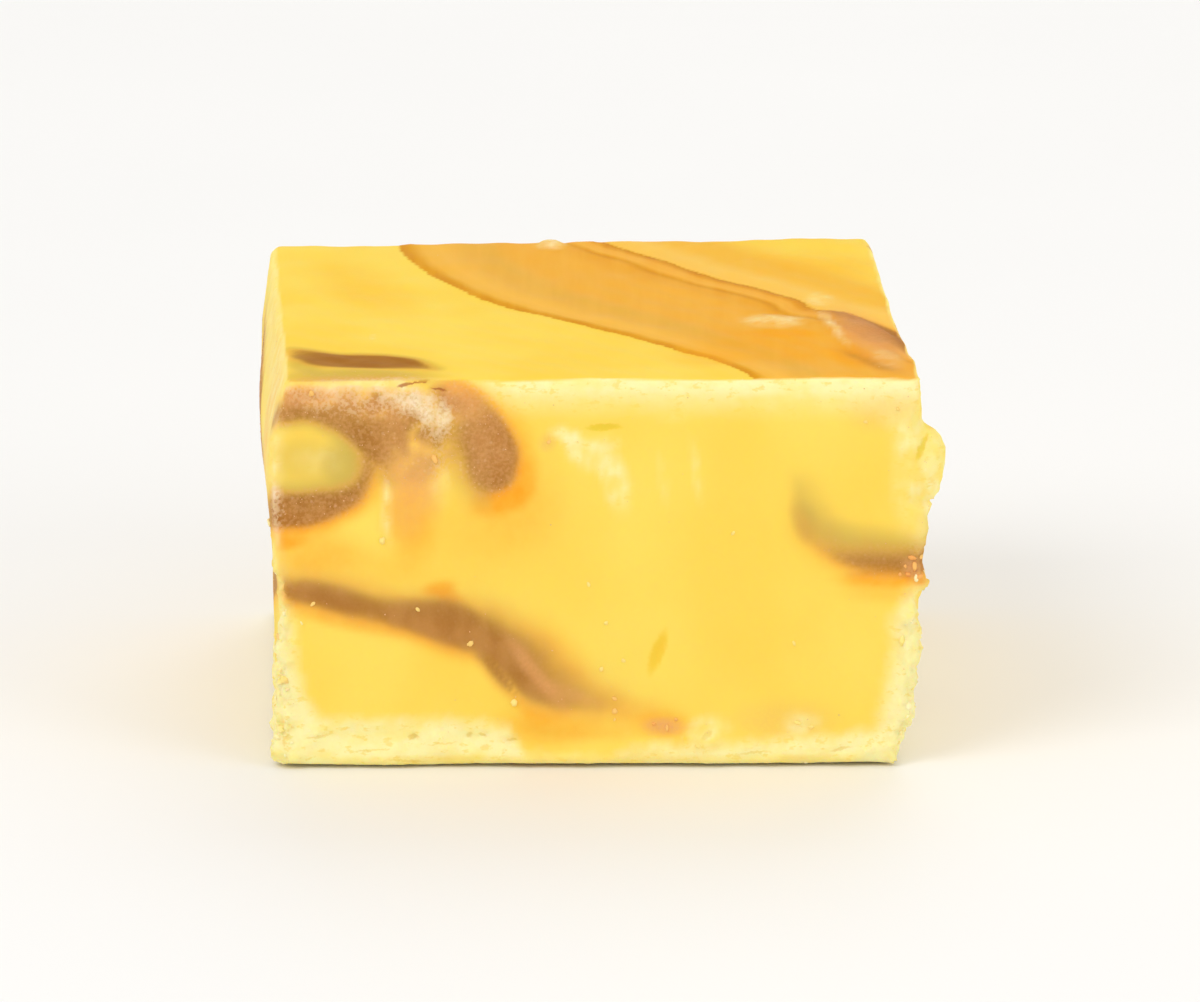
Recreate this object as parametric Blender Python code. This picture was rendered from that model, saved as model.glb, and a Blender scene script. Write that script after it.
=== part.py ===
"""A hand-cut piece of marbled slab fudge, as one solid.

The top is the slab's spread surface, the four sides are knife cuts that lean and bow a little, and
the foot is the crumbly skin that lay on the tray.  +Z is up, the cut face with the marbling looks
along -Y, and the origin is the middle of the foot.
"""

import math
import random

import bmesh
import bpy
from mathutils import Matrix, Vector, noise

MM = 0.001

# Size of the piece, corner to corner, before the lean of the cuts.
WIDTH = 38.0 * MM
DEPTH = 35.4 * MM
HEIGHT = 23.7 * MM
EDGE_ROUND = 0.45 * MM
EDGE_ROUND_STEPS = 2

# How far the knife put each corner from a true box: (left-right, front-back, up), in millimetres.
# A key says which corner: left or right, front or back, foot or top.
CORNER_LEAN = {
    ("left", "front", "foot"): (0.2, 0.2, 0.0),
    ("right", "front", "foot"): (-0.3, 0.7, 0.0),
    ("left", "back", "foot"): (-0.8, -0.4, 0.0),
    ("right", "back", "foot"): (-1.4, 0.6, 0.0),
    ("left", "front", "top"): (0.5, 1.7, 0.05),
    ("right", "front", "top"): (0.5, 0.9, 0.3),
    ("left", "back", "top"): (-1.1, 1.3, -0.1),
    ("right", "back", "top"): (-1.4, 3.0, 0.1),
}

# Spacing of the mesh lines: close together at the edges, where the relief is, and wide between.
EDGE_SPACING = 0.6 * MM
SPACING_GROWTH = 1.35
MIDDLE_SPACING = 2.4 * MM
UP_SPACING = 0.8 * MM
LAST_GAP_SHARE = 0.4
SPLIT_TOLERANCE = 0.02 * MM

# The cut faces bow out in the middle and are a little uneven.
SIDE_BOW = 0.35 * MM
SIDE_UNEVEN = 0.14 * MM
UNEVEN_SCALE = 6.0 * MM

# Wide swells of the two side cuts: height of the middle, half height and how far out.
RIGHT_SWELL = (7.2 * MM, 9.0 * MM, 0.95 * MM)
LEFT_SWELL = (17.8 * MM, 7.5 * MM, 0.75 * MM)

# The spread top: it dips towards the back left, and the spatula left low ridges along its strokes.
TOP_UNEVEN = 0.07 * MM
STROKE_RIDGE = 0.05 * MM
STROKE_PITCH = 5.2 * MM
STROKE_HEADING = math.radians(-27.0)
STROKE_WANDER = 0.25 * STROKE_PITCH
STROKE_WANDER_SCALE = 9.0 * MM

# The foot's skin stands proud of the sides, with a broken groove above it.
SKIN_HEIGHT = 1.5 * MM
SKIN_FADE = (0.7 * SKIN_HEIGHT, 1.1 * SKIN_HEIGHT)
SKIN_PROUD = 0.28 * MM
SKIN_ROUGH = 0.9
GROOVE_HEIGHT = 1.25 * SKIN_HEIGHT
GROOVE_DEPTH = 0.38 * MM
GROOVE_WIDTH = 0.45 * MM
GROOVE_BREAK_SCALE = 3.1 * MM
GROOVE_BREAKS = (-0.15, 0.35)
FOOT_LIFT = 0.18 * MM
FOOT_MARGIN = 1.6 * MM
FOOT_WAVE_SCALE = 4.0 * MM

# Ragged upright edges, where the knife dragged.
RAGGED_REACH = 2.2 * MM
RAGGED_PROUD = 0.55 * MM
RAGGED_SCALE = 1.1 * MM
RAGGED_LEVELS = (0.25, 0.8)
RAGGED_LOST_ABOVE = 0.75

# Lumps dragged out of the right front edge: height, reach past the edge, half height, in millimetres.
EDGE_LUMPS = (
    (14.4, 0.65, 1.10),
    (11.1, 0.75, 0.95),
    (6.7, 0.40, 0.80),
    (5.0, 0.35, 0.70),
    (3.2, 0.45, 0.70),
)
LUMP_DEPTH = 1.3 * MM

# The curled flake near the top of the right front edge.
FLAKE_HEIGHT = 18.4 * MM
FLAKE_BACK = 1.4 * MM
FLAKE_HALF_SIZES = (1.25 * MM, 1.5 * MM, 2.8 * MM)
FLAKE_REACH = 0.75 * MM
FLAKE_TILT = math.radians(9.0)

# A knife nick in the front face: place across and up, length, half width and depth.
NICK_ACROSS = 3.4 * MM
NICK_UP = 6.9 * MM
NICK_LENGTH = 3.4 * MM
NICK_HALF_WIDTH = 0.75 * MM
NICK_DEPTH = 0.4 * MM
NICK_TILT = math.radians(20.0)

# Crumbs that cling round the foot and the upright edges.
CRUMB_SEED = 7
FOOT_CRUMBS = 20
SIDE_CRUMBS = 9
CRUMB_SIZES = (0.32 * MM, 0.66 * MM)
CRUMB_SUNK = 0.55
CRUMB_UNEVEN = 0.32
FOOT_CRUMB_HEIGHTS = (0.9 * MM, 2.3 * MM)
SIDE_CRUMB_LEVELS = (0.12, 0.72)
SIDE_CRUMB_INSETS = (0.5 * MM, 1.6 * MM)

FUDGE_COLOUR = (0.99, 0.70, 0.13, 1.0)
FUDGE_ROUGHNESS = 0.5
SHARP_ANGLE = math.radians(40.0)


def clear_scene():
    for obj in list(bpy.data.objects):
        bpy.data.objects.remove(obj, do_unlink=True)


def fudge_material():
    material = bpy.data.materials.new("fudge")
    material.use_nodes = True
    shader = material.node_tree.nodes["Principled BSDF"]
    shader.inputs["Base Color"].default_value = FUDGE_COLOUR
    shader.inputs["Roughness"].default_value = FUDGE_ROUGHNESS
    shader.inputs["Metallic"].default_value = 0.0
    return material


def smooth_step(low, high, value):
    share = min(1.0, max(0.0, (value - low) / (high - low)))
    return share * share * (3.0 - 2.0 * share)


def bump(distance, reach):
    """1 at the middle of a soft round bump, falling to 0 at its reach."""
    return 1.0 - smooth_step(0.0, reach, abs(distance))


def line_places(length, widest):
    """Places of the mesh lines along an edge from 0 to its length, closer together at both ends."""
    places = []
    place, gap = EDGE_ROUND + EDGE_SPACING, EDGE_SPACING
    while place < length / 2 - widest * LAST_GAP_SHARE:
        places += [place, length - place]
        gap = min(gap * SPACING_GROWTH, widest)
        place += gap
    return sorted(places + [length / 2])


def gridded_box():
    """A box with rounded edges and mesh lines across it, its foot at height 0."""
    mesh = bmesh.new()
    bmesh.ops.create_cube(mesh, size=1.0)
    bmesh.ops.scale(mesh, vec=(WIDTH, DEPTH, HEIGHT), verts=mesh.verts)
    bmesh.ops.translate(mesh, vec=(0.0, 0.0, HEIGHT / 2), verts=mesh.verts)
    bmesh.ops.bevel(
        mesh,
        geom=mesh.edges[:],
        offset=EDGE_ROUND,
        segments=EDGE_ROUND_STEPS,
        profile=0.5,
        affect="EDGES",
    )
    starts = (-WIDTH / 2, -DEPTH / 2, 0.0)
    widest = (MIDDLE_SPACING, MIDDLE_SPACING, UP_SPACING)
    for axis, length in enumerate((WIDTH, DEPTH, HEIGHT)):
        normal = Vector((0.0, 0.0, 0.0))
        normal[axis] = 1.0
        for place in line_places(length, widest[axis]):
            bmesh.ops.bisect_plane(
                mesh,
                geom=mesh.verts[:] + mesh.edges[:] + mesh.faces[:],
                dist=SPLIT_TOLERANCE,
                plane_co=normal * (starts[axis] + place),
                plane_no=normal,
            )
    return mesh


def leaned(point):
    """Moves a point of the true box as the eight corners lean."""
    across = {"right": point.x / WIDTH + 0.5}
    across["left"] = 1.0 - across["right"]
    back = {"back": point.y / DEPTH + 0.5}
    back["front"] = 1.0 - back["back"]
    up = {"top": point.z / HEIGHT}
    up["foot"] = 1.0 - up["top"]
    lean = Vector((0.0, 0.0, 0.0))
    for (side, face, level), shift in CORNER_LEAN.items():
        lean += Vector(shift) * MM * across[side] * back[face] * up[level]
    return point + lean


def ragged(point, seed):
    """Signed roughness at a point, with sharp outward crumbs and shallow hollows."""
    place = point / RAGGED_SCALE + Vector((seed, 0.0, 0.0))
    return noise.noise(place) + 0.5 * noise.noise(place * 2.3)


def side_relief(point, outward):
    """How far a point on a side face moves out: bow, unevenness, ragged edges, foot skin and groove."""
    if abs(outward.x) > abs(outward.y):
        along, half = point.y, DEPTH / 2
    else:
        along, half = point.x, WIDTH / 2
    from_edge = half - abs(along)
    level = point.z / HEIGHT
    move = SIDE_BOW * math.sin(math.pi * level) * (1.0 - (along / half) ** 2)
    move += SIDE_UNEVEN * noise.noise(point / UNEVEN_SCALE)
    height, half_height, reach = RIGHT_SWELL if outward.x > 0 else LEFT_SWELL
    move += abs(outward.x) * reach * bump(point.z - height, half_height)
    edge_share = 1.0 - smooth_step(0.0, RAGGED_REACH, from_edge)
    low_share = 1.0 - RAGGED_LOST_ABOVE * smooth_step(*RAGGED_LEVELS, level)
    move += RAGGED_PROUD * edge_share * low_share * ragged(point, 3.0)
    skin_share = 1.0 - smooth_step(*SKIN_FADE, point.z)
    move += SKIN_PROUD * skin_share * (1.0 + SKIN_ROUGH * ragged(point, 11.0))
    broken = smooth_step(*GROOVE_BREAKS, noise.noise(point / GROOVE_BREAK_SCALE))
    move -= GROOVE_DEPTH * broken * bump(point.z - GROOVE_HEIGHT, 2 * GROOVE_WIDTH)
    return move


def top_relief(point):
    """How far a point on the spread top moves up."""
    across_strokes = point.y * math.cos(STROKE_HEADING) - point.x * math.sin(STROKE_HEADING)
    wander = STROKE_WANDER * noise.noise(point / STROKE_WANDER_SCALE)
    ridge = math.sin(2 * math.pi * (across_strokes + wander) / STROKE_PITCH)
    return STROKE_RIDGE * ridge + TOP_UNEVEN * noise.noise(point / UNEVEN_SCALE)


def lump_push(point):
    """How far the right front edge is dragged out by its lumps."""
    from_edge = math.hypot(point.x - WIDTH / 2, point.y + DEPTH / 2)
    push = 0.0
    for height, reach, half_height in EDGE_LUMPS:
        rise = bump(point.z - height * MM, 1.5 * half_height * MM)
        push += reach * MM * rise * bump(from_edge, 2 * LUMP_DEPTH)
    return push


def nick_depth(point):
    """Depth of the nick at a point of the front face."""
    across, up = point.x - NICK_ACROSS, point.z - NICK_UP
    along = up * math.cos(NICK_TILT) + across * math.sin(NICK_TILT)
    aside = across * math.cos(NICK_TILT) - up * math.sin(NICK_TILT)
    return NICK_DEPTH * bump(along, NICK_LENGTH / 2) * bump(aside, NICK_HALF_WIDTH)


def foot_lift(point):
    """How far the rim of the foot curls up off the table; the middle stays flat."""
    from_rim = min(WIDTH / 2 - abs(point.x), DEPTH / 2 - abs(point.y))
    rim_share = 1.0 - smooth_step(0.4 * FOOT_MARGIN, FOOT_MARGIN, from_rim)
    wave = 0.55 + 0.45 * noise.noise(Vector((point.x, point.y, 0.0)) / FOOT_WAVE_SCALE)
    return FOOT_LIFT * rim_share * wave


def shape_block(mesh):
    """Leans the box as it was cut and gives each face its relief."""
    mesh.normal_update()
    for vert in mesh.verts:
        point, outward = vert.co.copy(), vert.normal.copy()
        side_share = math.hypot(outward.x, outward.y)
        flat = Vector((outward.x, outward.y, 0.0))
        placed = leaned(point)
        if side_share > 0.05:
            placed += flat.normalized() * side_relief(point, outward) * side_share
        if outward.z > 0.05:
            placed.z += top_relief(point) * outward.z
        placed.x += lump_push(point)
        if outward.y < -0.7:
            placed.y += nick_depth(point)
        if point.z < 0.5 * EDGE_ROUND:
            placed.z += foot_lift(point)
        vert.co = placed


def mesh_object(name, mesh, collection, material):
    data = bpy.data.meshes.new(name)
    mesh.to_mesh(data)
    mesh.free()
    data.materials.append(material)
    obj = bpy.data.objects.new(name, data)
    collection.objects.link(obj)
    return obj


def crumb(place, half_sizes, turn, seed, detail=2):
    """A small broken lump: an icosphere with its points pushed in and out."""
    mesh = bmesh.new()
    bmesh.ops.create_icosphere(mesh, subdivisions=detail, radius=1.0)
    for vert in mesh.verts:
        vert.co *= 1.0 + CRUMB_UNEVEN * noise.noise(vert.co * 1.7 + Vector((seed, seed, 0.0)))
    stretch = Matrix.Diagonal((*half_sizes, 1.0))
    mesh.transform(Matrix.Translation(place) @ turn.to_4x4() @ stretch)
    return mesh


def flake():
    """The curled flake at the right front edge."""
    edge = leaned(Vector((WIDTH / 2, -DEPTH / 2 + FLAKE_BACK, FLAKE_HEIGHT)))
    place = edge + Vector((FLAKE_REACH, 0.0, 0.0))
    turn = Matrix.Rotation(-FLAKE_TILT, 3, "Y")
    return crumb(place, FLAKE_HALF_SIZES, turn, 2.0, detail=3)


def crumb_places(draw):
    """(place, outward) for the crumbs round the foot and up the upright edges."""
    rims = ((0, -1), (0, 1), (1, 0), (-1, 0))
    weights = (5, 2, 3, 2)
    for _ in range(FOOT_CRUMBS):
        nx, ny = draw.choices(rims, weights)[0]
        along = draw.uniform(-0.46, 0.46)
        x = nx * WIDTH / 2 if nx else along * WIDTH
        y = ny * DEPTH / 2 if ny else along * DEPTH
        yield Vector((x, y, draw.uniform(*FOOT_CRUMB_HEIGHTS))), Vector((nx, ny, 0.0))
    for _ in range(SIDE_CRUMBS):
        side = draw.choices((1, -1), (3, 1))[0]
        face = draw.choices((-1, 1), (4, 1))[0]
        height = draw.uniform(*SIDE_CRUMB_LEVELS) * HEIGHT
        y = face * (DEPTH / 2 - draw.uniform(*SIDE_CRUMB_INSETS))
        yield Vector((side * WIDTH / 2, y, height)), Vector((side, 0.0, 0.0))


def scattered_crumbs():
    draw = random.Random(CRUMB_SEED)
    made = []
    for index, (point, outward) in enumerate(crumb_places(draw)):
        size = draw.uniform(*CRUMB_SIZES)
        sizes = [size * draw.uniform(0.8, 1.5), size, size * draw.uniform(0.7, 1.2)]
        surface = leaned(point) + outward * side_relief(point, outward)
        place = surface + outward * size * (0.5 - CRUMB_SUNK)
        turn = Matrix.Rotation(draw.uniform(0.0, math.tau), 3, "Z")
        made.append(crumb(place, sizes, turn, 5.0 + index))
    return made


def join_lumps(block, lumps):
    """Joins the flake and crumbs to the block with one Boolean union, and removes them."""
    modifier = block.modifiers.new("join lumps", "BOOLEAN")
    modifier.operation = "UNION"
    modifier.operand_type = "COLLECTION"
    modifier.collection = lumps
    modifier.solver = "MANIFOLD"
    graph = bpy.context.evaluated_depsgraph_get()
    joined = bpy.data.meshes.new_from_object(block.evaluated_get(graph))
    block.modifiers.remove(modifier)
    block.data = joined
    for obj in list(lumps.objects):
        bpy.data.objects.remove(obj, do_unlink=True)
    bpy.data.collections.remove(lumps)


def stand_on_origin(block):
    """Puts the middle of the foot on the origin, and its flat middle at height 0."""
    for axis in (0, 1):
        places = [vert.co[axis] for vert in block.data.vertices]
        middle = (min(places) + max(places)) / 2
        for vert in block.data.vertices:
            vert.co[axis] -= middle
    lowest = min(vert.co.z for vert in block.data.vertices)
    for vert in block.data.vertices:
        vert.co.z -= lowest


def build():
    clear_scene()
    scene_collection = bpy.context.scene.collection
    fudge = bpy.data.collections.new("marbled_fudge")
    lumps = bpy.data.collections.new("lumps")
    scene_collection.children.link(fudge)
    scene_collection.children.link(lumps)
    material = fudge_material()

    block_mesh = gridded_box()
    shape_block(block_mesh)
    block = mesh_object("fudge_piece", block_mesh, fudge, material)
    mesh_object("flake", flake(), lumps, material)
    for index, crumb_mesh in enumerate(scattered_crumbs()):
        mesh_object(f"crumb_{index:02d}", crumb_mesh, lumps, material)
    join_lumps(block, lumps)
    stand_on_origin(block)
    block.data.shade_smooth()
    block.data.set_sharp_from_angle(angle=SHARP_ANGLE)


build()
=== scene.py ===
"""One hand-cut piece of marbled slab fudge, with its crumbs and sugar grains, on a plain pale table.

The tables below are in millimetres, in the piece's own frame: x to the right, y to the back and z
up, with the origin in the middle of the foot.  The marbling is laid out face by face, as ribbons,
smears and patches on the face's own two directions, and is kept on the mesh as amounts that the
material reads.
"""
import math
from collections import namedtuple

import bmesh
import bpy
import numpy as np
from bpy.props import FloatProperty, FloatVectorProperty, IntProperty, PointerProperty
from bpy.types import Operator, Panel, PropertyGroup
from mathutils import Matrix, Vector, noise


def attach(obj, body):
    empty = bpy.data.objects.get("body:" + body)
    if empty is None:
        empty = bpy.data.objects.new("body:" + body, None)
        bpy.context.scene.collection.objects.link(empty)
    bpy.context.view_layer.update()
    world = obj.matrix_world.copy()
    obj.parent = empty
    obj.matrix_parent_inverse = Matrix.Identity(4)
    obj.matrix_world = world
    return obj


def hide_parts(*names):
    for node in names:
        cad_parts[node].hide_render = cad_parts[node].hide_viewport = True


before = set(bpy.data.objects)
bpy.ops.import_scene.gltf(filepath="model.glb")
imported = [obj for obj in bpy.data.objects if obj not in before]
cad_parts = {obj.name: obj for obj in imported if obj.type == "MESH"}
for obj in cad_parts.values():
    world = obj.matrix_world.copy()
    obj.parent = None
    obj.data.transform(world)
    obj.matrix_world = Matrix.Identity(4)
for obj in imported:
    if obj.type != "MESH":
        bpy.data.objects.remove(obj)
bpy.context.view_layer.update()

bl_info = {
    "name": "Marbled fudge",
    "version": (1, 0, 0),
    "blender": (4, 5, 0),
    "location": "3D View > Sidebar > Fudge",
    "description": "Makes a hand-cut piece of marbled slab fudge with its crumbs and sugar grains",
    "category": "Add Mesh",
}

MM = 0.001
CAD_NODE = "fudge_piece"
BODY = "root"


def linear(red, green, blue):
    """A colour given as 0 to 255 on screen, as the linear values that Blender's shaders take."""
    shares = [value / 255 for value in (red, green, blue)]
    return tuple(s / 12.92 if s <= 0.04045 else ((s + 0.055) / 1.055) ** 2.4 for s in shares)


# The six faces: outward direction, and which two coordinates run across it and up it.
Face = namedtuple("Face", "name outward across up")
FACES = (
    Face("front", (0, -1, 0), 0, 2),
    Face("back", (0, 1, 0), 0, 2),
    Face("left", (-1, 0, 0), 1, 2),
    Face("right", (1, 0, 0), 1, 2),
    Face("top", (0, 0, 1), 0, 1),
    Face("foot", (0, 0, -1), 0, 1),
)
SIDES = FACES[:4]

# A ribbon of cocoa fudge where a face cuts through it.  Its points are (across, up, half width,
# strength).  Walking along them, the soft side is on the left and the amber fringe on the right.
Ribbon = namedtuple("Ribbon", "points soft crisp amber reach olive")

# Cocoa that the knife dragged over a face: a straight crisp edge from start to end, and fingers on
# its left.  The lengths say how far the fingers reach, evenly spaced along the edge.
Smear = namedtuple("Smear", "start end lengths pitch slant strength seed")

# A round patch of one colour on a face: its middle, half sizes, turn in degrees and strength.
Patch = namedtuple("Patch", "colour across up half_across half_up turn strength")

# A cocoa patch no stronger than this is an even haze; a stronger one is cloudy.
HAZE = 0.4

RIBBONS = {
    "front": (
        # The low band, from the left edge to its middle.
        Ribbon(
            (
                (-20.8, 11.1, 0.45, 0.55),
                (-19.6, 11.1, 0.48, 0.70),
                (-18.3, 11.0, 0.68, 0.92),
                (-17.0, 10.8, 0.82, 1.00),
                (-15.0, 10.35, 0.84, 0.98),
                (-13.2, 9.90, 0.80, 0.92),
                (-11.5, 9.50, 0.92, 0.95),
                (-9.9, 9.28, 1.18, 1.00),
                (-8.8, 9.05, 1.35, 1.00),
                (-7.4, 8.45, 1.20, 0.95),
                (-6.2, 7.70, 0.90, 0.50),
            ),
            soft=1.8, crisp=1.5, amber=0.55, reach=1.2, olive=0.2,
        ),
        # The same band from its middle down to the foot, where it spreads and fades.
        Ribbon(
            (
                (-9.0, 9.00, 0.80, 0.50),
                (-7.2, 8.50, 1.15, 0.95),
                (-5.8, 7.75, 1.20, 1.00),
                (-4.7, 6.65, 1.20, 0.96),
                (-3.8, 5.50, 1.15, 0.90),
                (-2.6, 4.70, 1.10, 0.74),
                (-1.1, 4.30, 1.00, 0.56),
                (0.4, 4.10, 0.85, 0.40),
                (1.7, 3.75, 0.60, 0.26),
                (3.2, 3.25, 0.40, 0.14),
            ),
            soft=3.2, crisp=1.5, amber=0.16, reach=1.0, olive=0.2,
        ),
        # A darker streak along the band's lower edge.
        Ribbon(
            (
                (-8.6, 8.15, 0.30, 0.30),
                (-7.0, 7.35, 0.45, 0.80),
                (-5.9, 6.20, 0.50, 0.90),
                (-5.1, 5.00, 0.42, 0.75),
                (-4.4, 4.05, 0.25, 0.30),
            ),
            soft=1.2, crisp=1.0, amber=0.0, reach=0.8, olive=0.2,
        ),
        # The crescent at the right edge.
        Ribbon(
            (
                (12.0, 16.5, 0.30, 0.26),
                (12.4, 15.3, 0.45, 0.46),
                (13.1, 14.2, 0.52, 0.54),
                (14.3, 13.3, 0.52, 0.68),
                (15.8, 12.75, 0.50, 0.90),
                (17.4, 12.6, 0.48, 0.98),
                (19.0, 12.55, 0.48, 1.00),
                (20.8, 12.5, 0.50, 1.00),
            ),
            soft=2.3, crisp=1.0, amber=0.8, reach=1.3, olive=1.0,
        ),
        # The lobe that hangs from the top edge.
        Ribbon(
            (
                (-6.25, 18.5, 1.55, 0.94),
                (-6.30, 19.4, 1.70, 0.94),
                (-6.75, 20.6, 1.50, 0.90),
                (-7.40, 21.9, 1.20, 0.68),
                (-8.40, 23.2, 0.90, 0.45),
            ),
            soft=1.9, crisp=1.05, amber=0.75, reach=1.7, olive=0.45,
        ),
        # The broken brown band along the top left.
        Ribbon(
            (
                (-12.2, 18.2, 0.60, 0.40),
                (-12.8, 19.3, 0.85, 0.75),
                (-13.7, 20.3, 0.95, 0.90),
                (-15.1, 21.3, 0.80, 0.85),
                (-16.8, 21.75, 0.60, 0.80),
                (-18.4, 21.7, 0.55, 0.85),
                (-20.8, 21.5, 0.50, 0.85),
            ),
            soft=0.9, crisp=1.5, amber=0.0, reach=1.0, olive=0.7,
        ),
        # The arc under the yellow eye at the left edge.
        Ribbon(
            (
                (-20.8, 15.8, 1.05, 0.95),
                (-18.5, 15.8, 1.05, 1.00),
                (-16.9, 15.95, 0.95, 1.00),
                (-15.2, 16.4, 0.72, 0.95),
                (-14.1, 17.1, 0.55, 0.85),
                (-13.6, 18.2, 0.50, 0.75),
                (-13.7, 19.4, 0.60, 0.70),
            ),
            soft=1.25, crisp=1.0, amber=1.0, reach=1.2, olive=0.85,
        ),
    ),
    "top": (
        # The dark streak by the front left corner.
        Ribbon(
            (
                (-18.7, -9.6, 0.30, 0.40),
                (-17.6, -11.2, 1.00, 0.75),
                (-16.0, -12.6, 1.55, 1.00),
                (-14.2, -13.0, 1.65, 1.00),
                (-12.6, -13.2, 1.50, 1.00),
                (-11.3, -13.8, 1.05, 0.95),
                (-9.9, -14.9, 0.45, 0.55),
            ),
            soft=0.9, crisp=1.3, amber=0.0, reach=0.8, olive=0.7,
        ),
        # The dark end of the swath's right side, with its soft side towards the swath.
        Ribbon(
            (
                (19.5, -10.8, 0.90, 0.90),
                (18.2, -8.3, 1.10, 0.95),
                (17.0, -5.8, 1.05, 0.95),
                (15.6, -3.3, 0.85, 0.88),
                (14.3, -1.8, 0.60, 0.75),
                (13.0, -0.6, 0.35, 0.50),
            ),
            soft=2.8, crisp=0.6, amber=0.3, reach=0.8, olive=0.0,
        ),
        # A brown stroke in the fold beside it.
        Ribbon(
            (
                (14.2, -9.6, 0.30, 0.25),
                (15.2, -11.8, 0.60, 0.55),
                (16.4, -14.0, 0.80, 0.62),
                (17.6, -15.8, 0.80, 0.55),
                (18.8, -17.4, 0.60, 0.30),
            ),
            soft=1.6, crisp=1.4, amber=0.0, reach=0.8, olive=0.0,
        ),
    ),
    "left": (
        # The low band carries on from the front.
        Ribbon(
            (
                (-19.0, 10.8, 0.40, 0.15),
                (-15.5, 10.7, 0.80, 0.80),
                (-12.5, 10.0, 1.10, 0.95),
                (-9.5, 8.6, 1.00, 0.80),
                (-7.2, 6.8, 0.60, 0.50),
                (-5.6, 5.0, 0.30, 0.20),
            ),
            soft=2.2, crisp=0.8, amber=0.7, reach=1.4, olive=0.4,
        ),
        # The arc carries on from the front and thins out.
        Ribbon(
            (
                (-19.5, 15.8, 1.00, 0.90),
                (-16.4, 15.3, 0.90, 0.80),
                (-13.8, 14.2, 0.50, 0.50),
                (-12.2, 12.8, 0.30, 0.20),
            ),
            soft=1.6, crisp=0.9, amber=0.7, reach=1.5, olive=0.4,
        ),
        # A thin one that shows as a line along the side's outline.
        Ribbon(
            (
                (-9.0, 16.0, 0.80, 0.50),
                (-4.5, 16.5, 1.25, 0.90),
                (-0.5, 17.1, 1.45, 1.00),
                (2.5, 17.9, 1.40, 1.00),
                (4.8, 18.9, 1.25, 1.00),
                (7.5, 19.8, 0.95, 0.90),
                (11.0, 20.4, 0.60, 0.60),
                (14.0, 20.6, 0.35, 0.20),
            ),
            soft=1.4, crisp=1.0, amber=0.6, reach=1.3, olive=0.4,
        ),
        # A thin one low down that carries on round the back.
        Ribbon(
            (
                (18.6, 6.4, 0.40, 0.90),
                (15.0, 6.3, 0.75, 0.90),
                (12.0, 5.0, 0.90, 0.75),
                (9.6, 3.2, 0.60, 0.45),
                (8.4, 1.6, 0.40, 0.20),
            ),
            soft=1.9, crisp=0.7, amber=0.8, reach=1.4, olive=0.5,
        ),
    ),
    "right": (
        # The crescent carries on from the front and climbs.
        Ribbon(
            (
                (-19.5, 12.6, 0.60, 1.00),
                (-16.2, 12.8, 0.85, 1.00),
                (-13.2, 13.9, 1.20, 0.95),
                (-10.8, 16.0, 1.30, 0.85),
                (-9.4, 18.6, 1.00, 0.65),
                (-8.8, 21.0, 0.70, 0.40),
            ),
            soft=2.6, crisp=0.8, amber=1.0, reach=1.5, olive=0.8,
        ),
        # A short one at the back edge.
        Ribbon(
            (
                (19.8, 9.9, 0.70, 1.00),
                (16.6, 10.3, 0.70, 0.85),
                (14.2, 11.6, 0.45, 0.50),
                (12.8, 13.2, 0.25, 0.20),
            ),
            soft=1.8, crisp=0.7, amber=0.8, reach=1.3, olive=0.7,
        ),
    ),
    "back": (
        # The low band, thickest in the middle.
        Ribbon(
            (
                (-20.6, 6.4, 0.40, 0.90),
                (-16.6, 5.3, 0.75, 1.00),
                (-12.6, 5.2, 1.15, 1.00),
                (-8.6, 6.4, 1.60, 1.00),
                (-4.6, 7.7, 1.50, 0.90),
                (-0.6, 7.6, 1.00, 0.65),
                (2.6, 6.2, 0.55, 0.35),
                (4.6, 4.4, 0.30, 0.15),
            ),
            soft=2.6, crisp=0.8, amber=0.8, reach=1.5, olive=0.5,
        ),
        # The crisp lower edge of the cloud near the top.
        Ribbon(
            (
                (-14.6, 20.6, 0.40, 0.45),
                (-11.6, 18.4, 0.85, 0.85),
                (-7.8, 16.4, 1.25, 1.00),
                (-3.2, 15.2, 1.35, 1.00),
                (1.4, 15.5, 1.20, 0.95),
                (4.8, 17.2, 1.00, 0.80),
                (6.6, 19.6, 0.75, 0.55),
                (7.2, 22.4, 0.60, 0.35),
            ),
            soft=2.8, crisp=0.9, amber=1.0, reach=1.8, olive=0.4,
        ),
        # A crescent at the other edge.
        Ribbon(
            (
                (8.6, 12.6, 0.30, 0.15),
                (10.2, 10.9, 0.60, 0.55),
                (12.8, 9.6, 0.80, 0.95),
                (16.2, 9.5, 0.75, 1.00),
                (20.4, 9.9, 0.70, 1.00),
            ),
            soft=2.2, crisp=0.7, amber=1.0, reach=1.4, olive=1.0,
        ),
    ),
    "foot": (),
}

SMEARS = {
    "left": (
        Smear((3.0, 3.4), (18.8, 17.5), (0.4, 3.0, 7.0, 7.5, 3.0), 2.3, 0.35, 0.95, 3),
    ),
    "right": (
        Smear((-6.4, 1.2), (9.6, 16.6), (0.3, 1.8, 3.8, 3.4, 0.5), 2.1, 0.30, 0.95, 8),
    ),
}

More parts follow.
